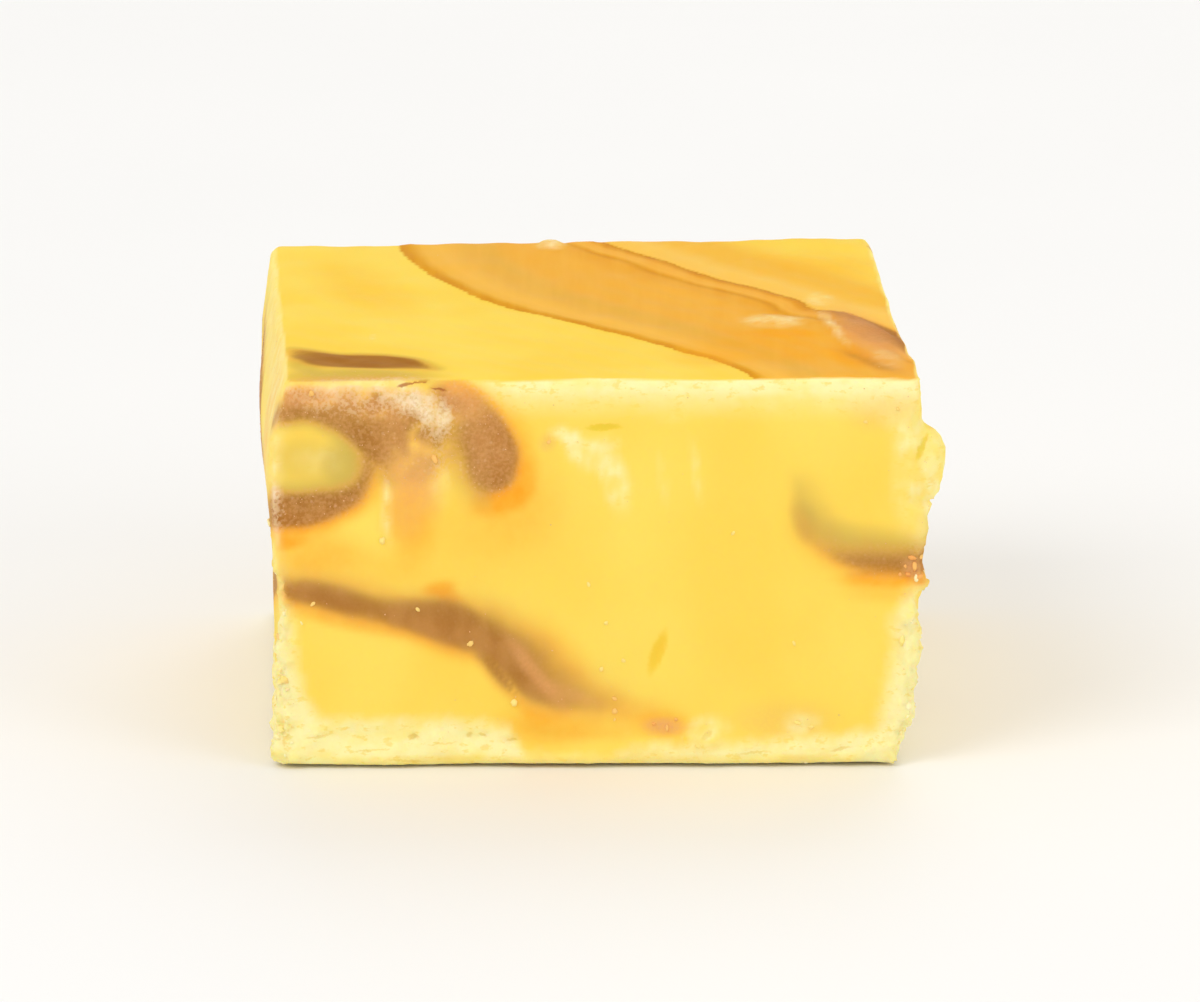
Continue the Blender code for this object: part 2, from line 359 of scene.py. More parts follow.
PATCHES = {
    "front": (
        Patch("clear", -17.6, 18.9, 3.1, 1.5, 0, 0.9),
        Patch("olive", -15.1, 18.6, 1.2, 1.6, 0, 0.74),
        Patch("olive", -17.4, 18.8, 3.0, 1.6, 0, 0.42),
        Patch("pale", -16.4, 18.9, 1.5, 0.9, 0, 0.22),
        Patch("olive", -14.5, 23.8, 4.6, 0.5, 0, 0.35),
        Patch("cocoa", -16.0, 22.4, 4.2, 1.0, 0, 0.7),
        Patch("cocoa", -12.0, 21.2, 3.0, 1.6, -20, 0.6),
        Patch("cocoa", -11.6, 19.2, 1.9, 2.0, 0, 0.42),
        Patch("cocoa", -9.8, 19.6, 1.6, 2.6, 0, 0.45),
        Patch("cocoa", -9.6, 22.6, 2.2, 0.8, -10, 0.7),
        Patch("cocoa", -10.8, 20.4, 1.5, 1.6, 0, 0.55),
        Patch("cocoa", -1.4, 5.4, 3.4, 1.7, -38, 0.24),
        Patch("cocoa", -2.6, 7.0, 2.4, 1.2, -42, 0.2),
        Patch("amber", -2.2, 7.3, 2.8, 1.3, -42, 0.25),
        Patch("cocoa", 1.2, 4.1, 3.0, 1.1, -14, 0.16),
        Patch("rose", -17.0, 22.7, 2.7, 0.7, 0, 0.72),
        Patch("rose", -13.0, 22.0, 2.2, 0.9, -14, 0.5),
        Patch("rose", -11.0, 18.6, 1.7, 2.2, 10, 0.40),
        Patch("rose", -11.3, 16.6, 1.2, 2.4, 0, 0.36),
        Patch("rose", -10.0, 17.6, 0.7, 2.2, 8, 0.30),
        Patch("rose", -8.0, 22.4, 1.6, 1.1, -30, 0.6),
        Patch("rose", -6.4, 19.9, 1.3, 2.0, 0, 0.26),
        Patch("rose", -2.75, 20.0, 0.5, 0.55, 0, 0.35),
        Patch("rose", -3.6, 6.0, 2.9, 0.45, -52, 0.5),
        Patch("rose", -1.4, 4.6, 1.9, 0.5, -20, 0.3),
        Patch("rose", -19.6, 16.9, 0.9, 0.8, 0, 0.5),
        Patch("rose", -19.6, 11.4, 0.9, 0.8, 0, 0.5),
        Patch("rose", 4.1, 2.6, 1.2, 0.5, -6, 0.8),
        Patch("rose", 17.6, 22.6, 2.6, 1.5, 20, 0.3),
        Patch("rose", 19.2, 12.2, 0.6, 0.7, 0, 0.7),
        Patch("rose", 11.4, 2.9, 3.0, 1.2, 0, 0.22),
        Patch("amber", -8.0, 23.0, 1.3, 0.7, -20, 0.7),
        Patch("amber", -11.2, 15.4, 1.5, 2.8, 4, 0.5),
        Patch("amber", -5.6, 16.5, 1.8, 0.9, 14, 0.7),
        Patch("amber", -4.4, 17.7, 0.9, 1.7, -14, 0.6),
        Patch("amber", -4.6, 16.2, 3.2, 2.4, 30, 0.25),
        Patch("amber", -6.4, 14.9, 5.0, 3.0, 0, 0.18),
        Patch("amber", -17.2, 13.3, 3.4, 1.4, 0, 0.4),
        Patch("amber", -19.0, 13.9, 1.6, 0.5, 0, 0.8),
        Patch("amber", -14.0, 12.2, 4.4, 1.2, -6, 0.25),
        Patch("amber", -9.3, 11.1, 1.0, 0.5, 10, 0.75),
        Patch("amber", -8.8, 10.6, 0.8, 0.5, -20, 0.6),
        Patch("amber", -14.6, 9.0, 4.4, 0.5, -9, 0.3),
        Patch("amber", -2.8, 2.6, 2.7, 1.3, -4, 0.52),
        Patch("amber", 0.8, 2.5, 2.4, 0.9, 4, 0.3),
        Patch("amber", -3.9, 3.6, 1.4, 0.5, -40, 0.4),
        Patch("amber", 4.1, 2.7, 1.8, 0.8, -6, 0.5),
        Patch("amber", 2.4, 3.7, 2.6, 0.8, -8, 0.25),
        Patch("cocoa", 17.6, 11.85, 2.8, 0.4, 0, 0.38),
        Patch("olive", 12.5, 15.3, 0.7, 1.4, 20, 0.65),
        Patch("olive", 15.4, 14.3, 3.4, 0.9, -6, 0.25),
        Patch("amber", 20.0, 11.6, 0.7, 0.5, 0, 0.9),
        Patch("rose", 20.0, 11.7, 0.5, 0.4, 0, 0.4),
        Patch("amber", 17.4, 11.6, 2.8, 0.55, 0, 0.6),
        Patch("amber", 17.4, 10.9, 2.4, 0.8, 0, 0.3),
        Patch("pale", 1.2, 17.6, 0.8, 1.8, 12, 0.8),
        Patch("pale", 0.2, 19.0, 0.5, 1.5, 20, 0.6),
        Patch("pale", -1.0, 19.6, 0.7, 1.3, 30, 0.8),
        Patch("pale", 0.6, 20.0, 0.9, 0.5, 0, 0.5),
        Patch("pale", -1.8, 20.6, 0.9, 0.4, -8, 0.5),
        Patch("pale", 6.0, 18.4, 0.3, 1.8, 10, 0.28),
        Patch("pale", 4.0, 17.8, 0.3, 1.6, 10, 0.18),
        Patch("pale", -10.7, 22.4, 2.0, 0.8, -14, 1.0),
        Patch("pale", -9.5, 21.4, 1.0, 1.1, 30, 1.0),
        Patch("pale", -13.4, 23.4, 2.6, 0.4, 0, 0.8),
        Patch("pale", -14.6, 22.4, 3.6, 0.8, -4, 0.34),
        Patch("pale", -17.2, 23.2, 2.0, 0.4, 0, 0.5),
        Patch("pale", -12.5, 16.0, 0.3, 2.1, 2, 0.5),
        Patch("pale", -9.3, 18.3, 0.7, 2.0, 0, 0.2),
        Patch("pale", 12.3, 2.7, 1.1, 0.7, 0, 0.6),
        Patch("pale", 4.6, 22.4, 2.6, 1.0, 0, 0.3),
        Patch("pale", -19.7, 17.0, 0.9, 5.6, 0, 0.75),
        Patch("pale", 6.8, 2.4, 1.2, 0.8, 0, 0.75),
        Patch("pale", 18.8, 19.2, 1.1, 4.4, 0, 0.5),
        Patch("pale", 20.4, 18.2, 1.0, 3.0, 0, 0.95),
    ),
    "top": (
        Patch("amber", -14.2, 5.5, 2.6, 8.0, 18, 0.2),
        Patch("amber", 10.4, -10.4, 5.6, 4.4, -14, 0.32),
        Patch("amber", 6.6, -13.0, 2.2, 2.2, 0, 0.25),
        Patch("amber", 11.4, -6.8, 2.6, 1.2, 0, 0.5),
        Patch("olive", -15.0, -13.0, 3.6, 1.6, 0, 0.4),
        Patch("rose", 16.4, -7.6, 1.7, 7.0, 12, 0.6),
        Patch("cocoa", 16.6, -8.4, 1.6, 5.4, 24, 0.34),
        Patch("amber", 15.4, -12.8, 1.4, 3.0, 14, 0.5),
        Patch("pale", 14.0, -3.3, 0.35, 2.3, 8, 0.4),
        Patch("pale", 14.7, -7.0, 0.3, 3.2, 8, 0.4),
        Patch("pale", 17.6, -13.6, 0.8, 2.0, 10, 0.3),
        # The pale patch over the burst bubble is its painted highlight.
        Patch("pale", 10.9, -3.3, 1.8, 1.7, 0, 0.5),
        Patch("pale", 13.9, 2.4, 0.8, 1.6, 0, 0.4),
        # The pale patch over the scrap at the back edge is its painted highlight.
        Patch("pale", -2.8, 17.3, 0.9, 1.5, 0, 0.75),
        Patch("pale", -13.5, -6.8, 0.2, 0.6, 0, 0.6),
        Patch("olive", -17.4, -14.2, 0.9, 1.9, 20, 0.6),
        Patch("olive", -14.2, -16.4, 4.8, 1.7, -3, 0.75),
        Patch("rose", -15.0, -17.4, 4.4, 0.9, 0, 0.5),
        Patch("pale", -12.6, -17.6, 4.6, 0.7, 0, 0.5),
        Patch("amber", 14.5, 12.0, 4.0, 3.0, -28, 0.22),
    ),
    "left": (
        Patch("pale", -12.0, 18.6, 6.0, 6.0, 0, 0.32),
        Patch("rose", -13.0, 18.0, 5.0, 6.0, 0, 0.2),
        Patch("cocoa", -17.4, 21.4, 2.4, 1.2, 0, 0.7),
        Patch("pale", 0.0, 22.4, 20.0, 2.6, 0, 0.32),
        Patch("rose", -6.0, 21.6, 12.0, 2.6, 0, 0.2),
        Patch("amber", -12.0, 19.2, 3.0, 3.4, 0, 0.4),
        Patch("pale", -8.0, 15.0, 1.0, 3.6, -12, 0.3),
        Patch("pale", 6.0, 6.0, 1.2, 2.0, -30, 0.3),
        Patch("amber", 2.5, 4.0, 5.0, 1.6, 20, 0.3),
    ),
    "right": (
        Patch("pale", -17.0, 18.2, 2.0, 3.2, 0, 0.85),
        Patch("cocoa", -6.0, 23.4, 4.6, 0.9, 0, 0.5),
        Patch("amber", -3.0, 20.5, 4.0, 2.6, 0, 0.35),
        Patch("pale", 3.5, 19.5, 1.4, 3.0, -20, 0.4),
        Patch("pale", -13.0, 7.0, 0.8, 3.0, -10, 0.25),
        Patch("amber", 12.0, 5.0, 4.0, 1.8, -10, 0.35),
    ),
    "back": (
        Patch("cocoa", -7.0, 19.8, 4.6, 2.4, -16, 0.62),
        Patch("cocoa", 1.8, 19.2, 3.4, 2.2, 14, 0.5),
        Patch("clear", -2.8, 19.4, 1.6, 1.3, 20, 0.75),
        Patch("amber", -5.4, 22.6, 7.0, 1.2, 0, 0.6),
        Patch("pale", -6.4, 22.2, 3.4, 0.8, 4, 0.6),
        Patch("pale", 12.5, 18.5, 1.6, 2.6, -10, 0.4),
        Patch("pale", -15.6, 12.6, 1.6, 1.2, 20, 0.35),
        Patch("amber", 3.0, 11.8, 6.0, 1.6, 0, 0.3),
        Patch("amber", -12.0, 2.6, 4.0, 1.0, 0, 0.6),
        Patch("amber", 7.0, 2.4, 2.0, 0.8, 0, 0.4),
    ),
    "foot": (
        Patch("amber", -3.0, -15.0, 4.0, 3.4, 20, 0.6),
        Patch("cocoa", -2.0, -14.6, 2.6, 1.6, 20, 0.3),
        Patch("amber", 8.0, 6.0, 5.0, 2.4, 40, 0.3),
        Patch("cocoa", 8.4, 6.4, 3.0, 0.9, 42, 0.22),
        Patch("amber", -12.0, 9.0, 3.4, 2.0, -30, 0.3),
        Patch("olive", -12.6, 9.4, 2.6, 1.0, -30, 0.3),
    ),
}

# The lines of the orange swath that was spread over the top, from the back to the front.
SWATH_LEFT = (
    (-13.0, 19.8),
    (-12.2, 16.3),
    (-11.5, 12.8),
    (-10.5, 9.8),
    (-8.8, 6.2),
    (-6.8, 2.5),
    (-4.2, -0.8),
    (-1.5, -3.5),
    (1.5, -6.5),
    (3.8, -9.2),
    (5.4, -11.4),
    (7.2, -13.4),
    (8.6, -15.6),
    (9.8, -18.4),
)
SWATH_RIGHT = (
    (-1.0, 20.4),
    (1.2, 16.8),
    (3.8, 13.2),
    (6.2, 9.5),
    (8.5, 6.8),
    (10.5, 4.5),
    (12.4, 1.9),
    (13.3, -0.2),
    (14.4, -1.0),
    (16.1, -2.7),
    (17.5, -5.6),
    (18.5, -8.0),
    (20.2, -12.4),
)

# How much thinner the left line's shading is at the front than at the back.
SWATH_THINNING = 0.9

# Widths of the dry skin on the front face: down its left and right edges as (height, width), and
# along its foot as (across, height).
FRONT_LEFT_SKIN = (
    (0.0, 3.2),
    (2.5, 3.0),
    (3.4, 2.0),
    (4.6, 1.1),
    (6.8, 0.6),
    (8.6, 0.35),
    (9.8, 0.2),
    (10.8, 0.1),
    (24.0, 0.2),
)
FRONT_RIGHT_SKIN = (
    (0.0, 2.6),
    (1.5, 2.0),
    (3.0, 1.5),
    (6.0, 1.2),
    (9.5, 1.0),
    (11.0, 0.3),
    (13.0, 0.1),
    (14.4, 0.5),
    (17.0, 0.8),
    (20.0, 1.3),
    (22.0, 2.4),
    (24.0, 3.6),
)
FRONT_FOOT_SKIN = (
    (-20.0, 3.3),
    (-17.0, 3.0),
    (-12.0, 2.85),
    (-7.0, 2.8),
    (-5.2, 2.5),
    (-4.2, 0.9),
    (-2.0, 0.5),
    (1.0, 0.7),
    (2.6, 1.3),
    (5.2, 1.4),
    (8.6, 1.5),
    (11.5, 1.7),
    (14.0, 1.8),
    (16.5, 2.2),
    (18.0, 3.0),
    (20.0, 4.0),
)

# The same for the faces that aren't laid out so closely.
PLAIN_EDGE_SKIN = ((0.0, 1.7), (3.0, 1.0), (8.0, 0.6), (14.0, 0.3), (24.0, 0.2))
PLAIN_FOOT_SKIN = 2.1

# Small marks on the front face, as ovals: across, up, half length, half height and turn in degrees.
PITS = (
    (6.72, 2.08, 0.42, 0.20, 38),
    (-7.55, 1.98, 0.22, 0.20, 60),
    (-6.75, 2.02, 0.26, 0.11, -14),
    (-10.95, 1.92, 0.30, 0.18, 8),
    (-5.00, 1.72, 0.36, 0.10, 4),
)
FOOT_CRACKS = (
    (-16.6, 2.02, 0.85, 0.085, 9),
    (-13.4, 1.15, 1.10, 0.070, 4),
    (-9.2, 1.55, 0.90, 0.070, 3),
    (-11.3, 0.50, 1.20, 0.075, -3),
    (9.6, 0.95, 1.00, 0.070, 4),
    (14.8, 1.15, 0.70, 0.070, 10),
)
CHIPS = (
    (-11.40, 23.40, 0.42, 0.13, 14),
    (-10.20, 23.62, 0.40, 0.12, 16),
    (-10.85, 23.50, 0.70, 0.06, 14),
    (-9.35, 23.18, 0.50, 0.06, -8),
)
DARK_STROKES = ((0.5, 20.95, 1.15, 0.22, 2), (19.5, 19.7, 0.85, 0.2, 66))
NICK = (3.75, 7.2, 1.5, 0.42, 71)

# How far the knife's pull moved the left edge to the right, as (height, millimetres).
LEFT_EDGE_PULL = ((0.0, 0.0), (19.5, 0.0), (22.0, 0.25), (24.0, 0.5))

# Outline of the right front edge, as (height, across), with the curled flake in its upper half.
RIGHT_EDGE = (
    (0.0, 18.2),
    (1.0, 18.35),
    (1.4, 18.6),
    (2.3, 18.8),
    (3.2, 19.15),
    (4.4, 19.15),
    (5.3, 19.4),
    (6.0, 19.3),
    (7.1, 19.7),
    (7.7, 19.45),
    (8.4, 19.55),
    (9.1, 19.35),
    (10.2, 19.5),
    (11.4, 20.0),
    (12.6, 19.55),
    (14.4, 20.0),
    (15.3, 19.9),
    (16.1, 20.25),
    (16.9, 20.65),
    (18.3, 20.9),
    (19.4, 20.95),
    (20.0, 20.8),
    (20.5, 20.45),
    (20.9, 19.9),
    (21.2, 19.55),
    (24.0, 19.3),
)

# Specks that cling to the front face: across, up, radius and how far from cream towards orange.
SPECKS = (
    (-9.55, 18.95, 0.23, 0.68),
    (-12.60, 13.95, 0.26, 0.15),
    (-16.95, 10.05, 0.15, 0.40),
    (-10.66, 9.70, 0.18, 0.35),
    (-7.58, 7.82, 0.17, 0.45),
    (-4.90, 3.95, 0.24, 0.10),
    (1.10, 4.20, 0.15, 0.60),
    (1.22, 3.62, 0.18, 0.60),
    (1.05, 3.10, 0.12, 0.45),
    (11.90, 7.60, 0.13, 0.15),
    (0.75, 9.05, 0.15, 0.10),
    (-0.30, 11.45, 0.13, 0.10),
    (8.20, 14.50, 0.12, 0.15),
    (1.60, 6.70, 0.12, 0.20),
    (0.30, 6.10, 0.14, 0.20),
    (-2.75, 20.05, 0.14, 0.60),
    (-16.90, 23.00, 0.18, 0.65),
    (18.95, 12.85, 0.20, 0.95),
    (19.20, 12.35, 0.22, 0.75),
    (18.80, 11.95, 0.17, 1.00),
    (19.35, 11.75, 0.20, 0.90),
    (19.45, 12.95, 0.16, 0.60),
    (18.45, 12.40, 0.13, 0.80),
    (18.20, 11.90, 0.12, 0.90),
    (17.90, 22.10, 0.13, 0.35),
    (16.00, 21.40, 0.11, 0.30),
    (3.60, 2.75, 0.14, 0.90),
    (4.40, 2.45, 0.16, 0.70),
    (4.75, 2.90, 0.12, 0.80),
    (6.10, 1.35, 0.16, 0.10),
    (12.30, 2.80, 0.18, 0.10),
    (12.85, 2.45, 0.15, 0.20),
)

# The marbling's colours; clear takes cocoa away again.
COLOURS = ("cocoa", "amber", "olive", "rose", "pale", "clear")


class FudgeBlockSettings(PropertyGroup):
    """Sizes of the marbled block"""

    spacing: FloatProperty(
        name="Mesh spacing",
        description="Distance between points of the fine mesh",
        default=0.262 * MM,
        min=0.1 * MM,
        unit="LENGTH",
        precision=5,
    )
    skin_relief: FloatProperty(
        name="Foot skin relief",
        description="How far the lumps of the foot skin stand out",
        default=0.15 * MM,
        unit="LENGTH",
        precision=5,
    )
    edge_relief: FloatProperty(
        name="Ragged edge relief",
        description="How far the upright edges are torn in and out",
        default=0.32 * MM,
        unit="LENGTH",
        precision=5,
    )
    pit_depth: FloatProperty(
        name="Pit depth",
        description="Depth of the pits, chips and cracks",
        default=0.28 * MM,
        unit="LENGTH",
        precision=5,
    )


class FudgeColourSettings(PropertyGroup):
    """Colours of the marbled block"""

    yellow: FloatVectorProperty(
        name="Yellow",
        description="Colour of the plain fudge",
        default=linear(254, 218, 97),
        subtype="COLOR",
    )
    cocoa: FloatVectorProperty(
        name="Cocoa",
        description="Colour of the brown marbling",
        default=linear(173, 118, 58),
        subtype="COLOR",
    )
    amber: FloatVectorProperty(
        name="Amber",
        description="Colour of the fringe where cocoa shows through yellow",
        default=linear(251, 168, 40),
        subtype="COLOR",
    )
    olive: FloatVectorProperty(
        name="Olive",
        description="Colour of thin yellow over cocoa",
        default=linear(190, 165, 84),
        subtype="COLOR",
    )
    rose: FloatVectorProperty(
        name="Rose",
        description="Colour of the pinkish dusty cocoa",
        default=linear(236, 172, 112),
        subtype="COLOR",
    )
    # The dry skin's colour also paints the painted highlights on the rounded upper edge and on the top's
    # bubble and scrap.
    pale: FloatVectorProperty(
        name="Dry skin",
        description="Colour of the dry skin, powder and crumbs",
        default=linear(254, 243, 182),
        subtype="COLOR",
    )
    swath: FloatVectorProperty(
        name="Swath",
        description="Colour of the spread orange swath on the top",
        default=linear(242, 180, 76),
        subtype="COLOR",
    )


class FudgeScatterSettings(PropertyGroup):
    """Sizes and numbers of the crumbs and the sugar grains"""

    crumb_density: FloatProperty(
        name="Crumb density",
        description="Crumbs for each square metre where the surface is crumbliest",
        default=0.75e6,
    )
    crumb_size: FloatProperty(
        name="Crumb size",
        description="Half length of the largest crumb",
        default=0.30 * MM,
        unit="LENGTH",
        precision=5,
    )
    grain_density: FloatProperty(
        name="Sugar density",
        description="Sugar grains for each square metre where the surface is grainiest",
        default=6.0e6,
    )
    grain_size: FloatProperty(
        name="Sugar grain size",
        description="Radius of the largest sugar grain",
        default=0.05 * MM,
        unit="LENGTH",
        precision=5,
    )
    seed: IntProperty(name="Seed", description="Start of the random draws", default=4)


class FudgeStageSettings(PropertyGroup):
    """The camera and the lights"""

    lens: FloatProperty(
        name="Lens",
        description="Focal length that frames the piece on a 36 mm wide sensor",
        default=282.0,
        unit="CAMERA",
    )
    distance: FloatProperty(
        name="Camera distance",
        description="From the middle of the piece to the camera",
        default=580 * MM,
        unit="LENGTH",
    )
    elevation: FloatProperty(
        name="Camera elevation",
        description="Angle of the view above the horizon",
        default=math.radians(15.0),
        subtype="ANGLE",
    )
    surround: FloatProperty(
        name="Surround light",
        description="Strength of the even white light from all round",
        default=0.74,
    )
    key_power: FloatProperty(
        name="Key light",
        description="Power of the large soft light at the upper left",
        default=1.75,
        unit="POWER",
    )
    fill_power: FloatProperty(
        name="Fill light",
        description="Power of the large soft light at the right",
        default=0.8,
        unit="POWER",
    )


# Small numpy helpers.

# How far one seed moves the noise.
SEED_SHIFT = (17.3, 5.1, 9.7)

# How far apart the rows of a smooth line lie, in millimetres.
LINE_SPACING = 0.25


def smooth_step(low, high, value):
    """0 below low and 1 above high, with a soft change between; low may be the larger."""
    share = np.clip((value - low) / (high - low), 0.0, 1.0)
    return share * share * (3.0 - 2.0 * share)


def hump(value, reach):
    """1 where value is 0, falling softly to 0 at plus or minus reach."""
    return smooth_step(reach, 0.0, np.abs(value))


def noise_at(places, scale, seed=0.0):
    """Blender's noise, from about -1 to 1, at places in millimetres; scale may differ by axis."""
    moved = places / np.asarray(scale, dtype=float) + np.array(SEED_SHIFT) * seed
    return np.fromiter(map(noise.noise, moved.tolist()), float, len(moved))


def layered_noise(places, *layers):
    """Sum of noises, each given as its strength, the size of its lumps and its seed."""
    return sum(strength * noise_at(places, size, seed) for strength, size, seed in layers)


def smooth_line(points, spacing=LINE_SPACING):
    """Evenly spaced rows on a smooth curve through rows of points."""
    rows = np.asarray(points, dtype=float)
    rows = np.vstack([2 * rows[0] - rows[1], rows, 2 * rows[-1] - rows[-2]])
    curve = []
    for before, start, end, after in zip(rows, rows[1:], rows[2:], rows[3:]):
        steps = max(2, int(math.hypot(*(end - start)[:2]) / spacing))
        for share in np.arange(steps) / steps:
            bend = (2 * before - 5 * start + 4 * end - after) * share**2
            twist = (3 * start - before - 3 * end + after) * share**3
            curve.append(start + 0.5 * ((end - before) * share + bend + twist))
    return np.array(curve + [rows[-2]])


def from_line(places, line, widths=0.0):
    """For 2-D places: distance to a line, signed distance (left of its direction is above 0) and
    nearest row."""
    headings = np.gradient(line[:, :2], axis=0)
    headings /= np.hypot(headings[:, 0], headings[:, 1])[:, None]
    offsets = places[:, None, :] - line[None, :, :2]
    gaps = np.hypot(offsets[..., 0], offsets[..., 1])
    nearest = np.argmin(gaps - widths, axis=1)
    rows = np.arange(len(places))
    offset, heading = offsets[rows, nearest], headings[nearest]
    side = heading[:, 0] * offset[:, 1] - heading[:, 1] * offset[:, 0]
    return gaps[rows, nearest], side, nearest


def in_oval(places, across, up, half_across, half_up, turn):
    """Distance from an oval's middle, where 1 is its rim."""
    angle = math.radians(turn)
    along = (places[:, 0] - across) * math.cos(angle) + (places[:, 1] - up) * math.sin(angle)
    aside = (places[:, 1] - up) * math.cos(angle) - (places[:, 0] - across) * math.sin(angle)
    return np.hypot(along / half_across, aside / half_up)


def profile(table, value):
    """A value read off a table of (place, value) rows."""
    rows = np.asarray(table, dtype=float)
    return np.interp(value, rows[:, 0], rows[:, 1])


def row_numbers(level, row_height, count):
    """Which row each height falls in."""
    return np.clip((level / row_height).astype(int), 0, count - 1)


def row_middles(filled, row_height):
    """Heights of the middles of the filled rows."""
    return np.arange(len(filled))[filled] * row_height + row_height / 2


# The block: a fine mesh, its relief and its marbling.

# How sharply a point belongs to one face only.  The spread top counts only where it is nearly level:
# the knife cut through its rim.
FACE_SHARPNESS = {"top": 24, "foot": 8}
SIDE_SHARPNESS = 4
NEVER_ZERO = 1e-9

# The upright edges are found in rows, one above the other, and averaged over a few rows.
EDGE_ROW_HEIGHT = 0.5
EDGE_ROW_COUNT = 61
EDGE_ROWS_AVERAGED = 5


class Surface:
    """The fine mesh as arrays: places in millimetres, outward directions and share of each face."""

    def __init__(self, mesh):
        """Reads the mesh's points and edges."""
        self.count = len(mesh.vertices)
        flat = np.empty(self.count * 3)
        mesh.vertices.foreach_get("co", flat)
        self.places = flat.reshape(-1, 3) / MM
        pairs = np.empty(len(mesh.edges) * 2, dtype=np.int32)
        mesh.edges.foreach_get("vertices", pairs)
        self.pairs = pairs.reshape(-1, 2)
        self.links = np.bincount(pairs, minlength=self.count)
        self.mesh = mesh

    def neighbours_mean(self, values):
        """Mean of each point's neighbours, for an array of numbers or of rows."""
        columns = values.reshape(self.count, -1)
        first, second = self.pairs[:, 0], self.pairs[:, 1]
        means = np.empty_like(columns)
        for index in range(columns.shape[1]):
            column = columns[:, index]
            total = np.bincount(first, column[second], self.count)
            total += np.bincount(second, column[first], self.count)
            means[:, index] = total / self.links
        return means.reshape(values.shape)

    def relax(self, smoothing, where):
        """Smooths the surface, given as (rounds, strength), as far as where says at each point."""
        rounds, strength = smoothing
        share = strength * where[:, None]
        for _ in range(rounds):
            self.places += share * (self.neighbours_mean(self.places) - self.places)

    def write_places(self):
        """Writes the places back to the mesh."""
        self.mesh.vertices.foreach_set("co", (self.places * MM).ravel())
        self.mesh.update()

    def read_outward(self):
        """Reads the outward direction at each point, and how far the point belongs to each face."""
        self.write_places()
        flat = np.empty(self.count * 3, dtype=np.float32)
        self.mesh.vertex_normals.foreach_get("vector", flat)
        self.outward = flat.reshape(-1, 3).astype(float)
        shares = {}
        for face in FACES:
            lean = np.clip(self.outward @ np.array(face.outward), 0, 1)
            shares[face.name] = lean ** FACE_SHARPNESS.get(face.name, SIDE_SHARPNESS)
        total = sum(shares.values()) + NEVER_ZERO
        self.shares = {name: share / total for name, share in shares.items()}

    def edge_distances(self, face, own):
        """Distance to the face's low and high upright edges, both measured across the face."""
        across, level = self.places[:, face.across], self.places[:, 2]
        rows = row_numbers(level, EDGE_ROW_HEIGHT, EDGE_ROW_COUNT)
        low, high = np.full(EDGE_ROW_COUNT, np.inf), np.full(EDGE_ROW_COUNT, -np.inf)
        np.minimum.at(low, rows[own], across[own])
        np.maximum.at(high, rows[own], across[own])
        filled = np.isfinite(low)
        levels = row_middles(filled, EDGE_ROW_HEIGHT)
        kernel = np.ones(EDGE_ROWS_AVERAGED) / EDGE_ROWS_AVERAGED
        padded = [np.pad(side[filled], EDGE_ROWS_AVERAGED // 2, mode="edge") for side in (low, high)]
        low_line, high_line = (np.convolve(side, kernel, mode="valid") for side in padded)
        return across - np.interp(level, levels, low_line), np.interp(level, levels, high_line) - across


# Points of the CAD node closer than this are one point.
MERGE_GAP = 0.001 * MM


def fine_copy(spacing):
    """A closed mesh with even spacing, in the form of the CAD node."""
    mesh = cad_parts[CAD_NODE].data.copy()
    work = bmesh.new()
    work.from_mesh(mesh)
    bmesh.ops.remove_doubles(work, verts=work.verts, dist=MERGE_GAP)
    work.to_mesh(mesh)
    work.free()
    rough = bpy.data.objects.new("rough_block", mesh)
    bpy.context.scene.collection.objects.link(rough)
    remesh = rough.modifiers.new("even mesh", "REMESH")
    remesh.mode = "VOXEL"
    remesh.voxel_size = spacing
    remesh.use_smooth_shade = True
    graph = bpy.context.evaluated_depsgraph_get()
    fine = bpy.data.meshes.new_from_object(rough.evaluated_get(graph))
    bpy.data.objects.remove(rough, do_unlink=True)
    bpy.data.meshes.remove(mesh)
    return fine


# How a ribbon fades: over how far its two sides blend, from where to where the cocoa thins out in
# shares of the blur, where the amber is full, and how far the olive reaches as a share of the blur.
SIDE_BLEND = 0.5
COCOA_FADE = (0.75, -0.55)
AMBER_FULL = -0.2
OLIVE_REACH = 0.95


def ribbon_amounts(ribbon, places):
    """Cocoa, amber and olive that one ribbon gives at 2-D places."""
    line = smooth_line(ribbon.points)
    gap, side, nearest = from_line(places, line, line[:, 2])
    outside, strength = gap - line[nearest, 2], line[nearest, 3]
    above = smooth_step(-SIDE_BLEND, SIDE_BLEND, side)
    blur = ribbon.crisp + (ribbon.soft - ribbon.crisp) * above
    cocoa = smooth_step(*COCOA_FADE, outside / blur) * strength
    amber = smooth_step(ribbon.reach, AMBER_FULL, outside) * (1 - above) * ribbon.amber * strength**2
    olive = smooth_step(OLIVE_REACH * ribbon.soft, 0.0, outside) * above * ribbon.olive * np.sqrt(strength)
    return {"cocoa": cocoa, "amber": amber, "olive": olive}


# The fingers of a smear: how little they change along their length, the share and the pitch of the
# finer ones among them, and their least length.
FINGER_DRAG = 0.12
FINE_FINGERS = 0.45
FINE_PITCH = 0.4
LEAST_FINGER = 0.05

# Where a smear starts and fades, as millimetres from its edge or as shares of a finger's length.
SMEAR_EDGE = (-0.2, 0.35)
SMEAR_TIP = (1.15, 0.35)
SMEAR_END = (-0.5, 2.0)
SMEAR_OLIVE_EDGE = (-0.3, 0.5)
SMEAR_OLIVE_TIP = (1.7, 0.7)
SMEAR_OLIVE = 0.55
SMEAR_AMBER = 0.45
SMEAR_AMBER_PLACE = 0.35
SMEAR_AMBER_REACH = 0.9


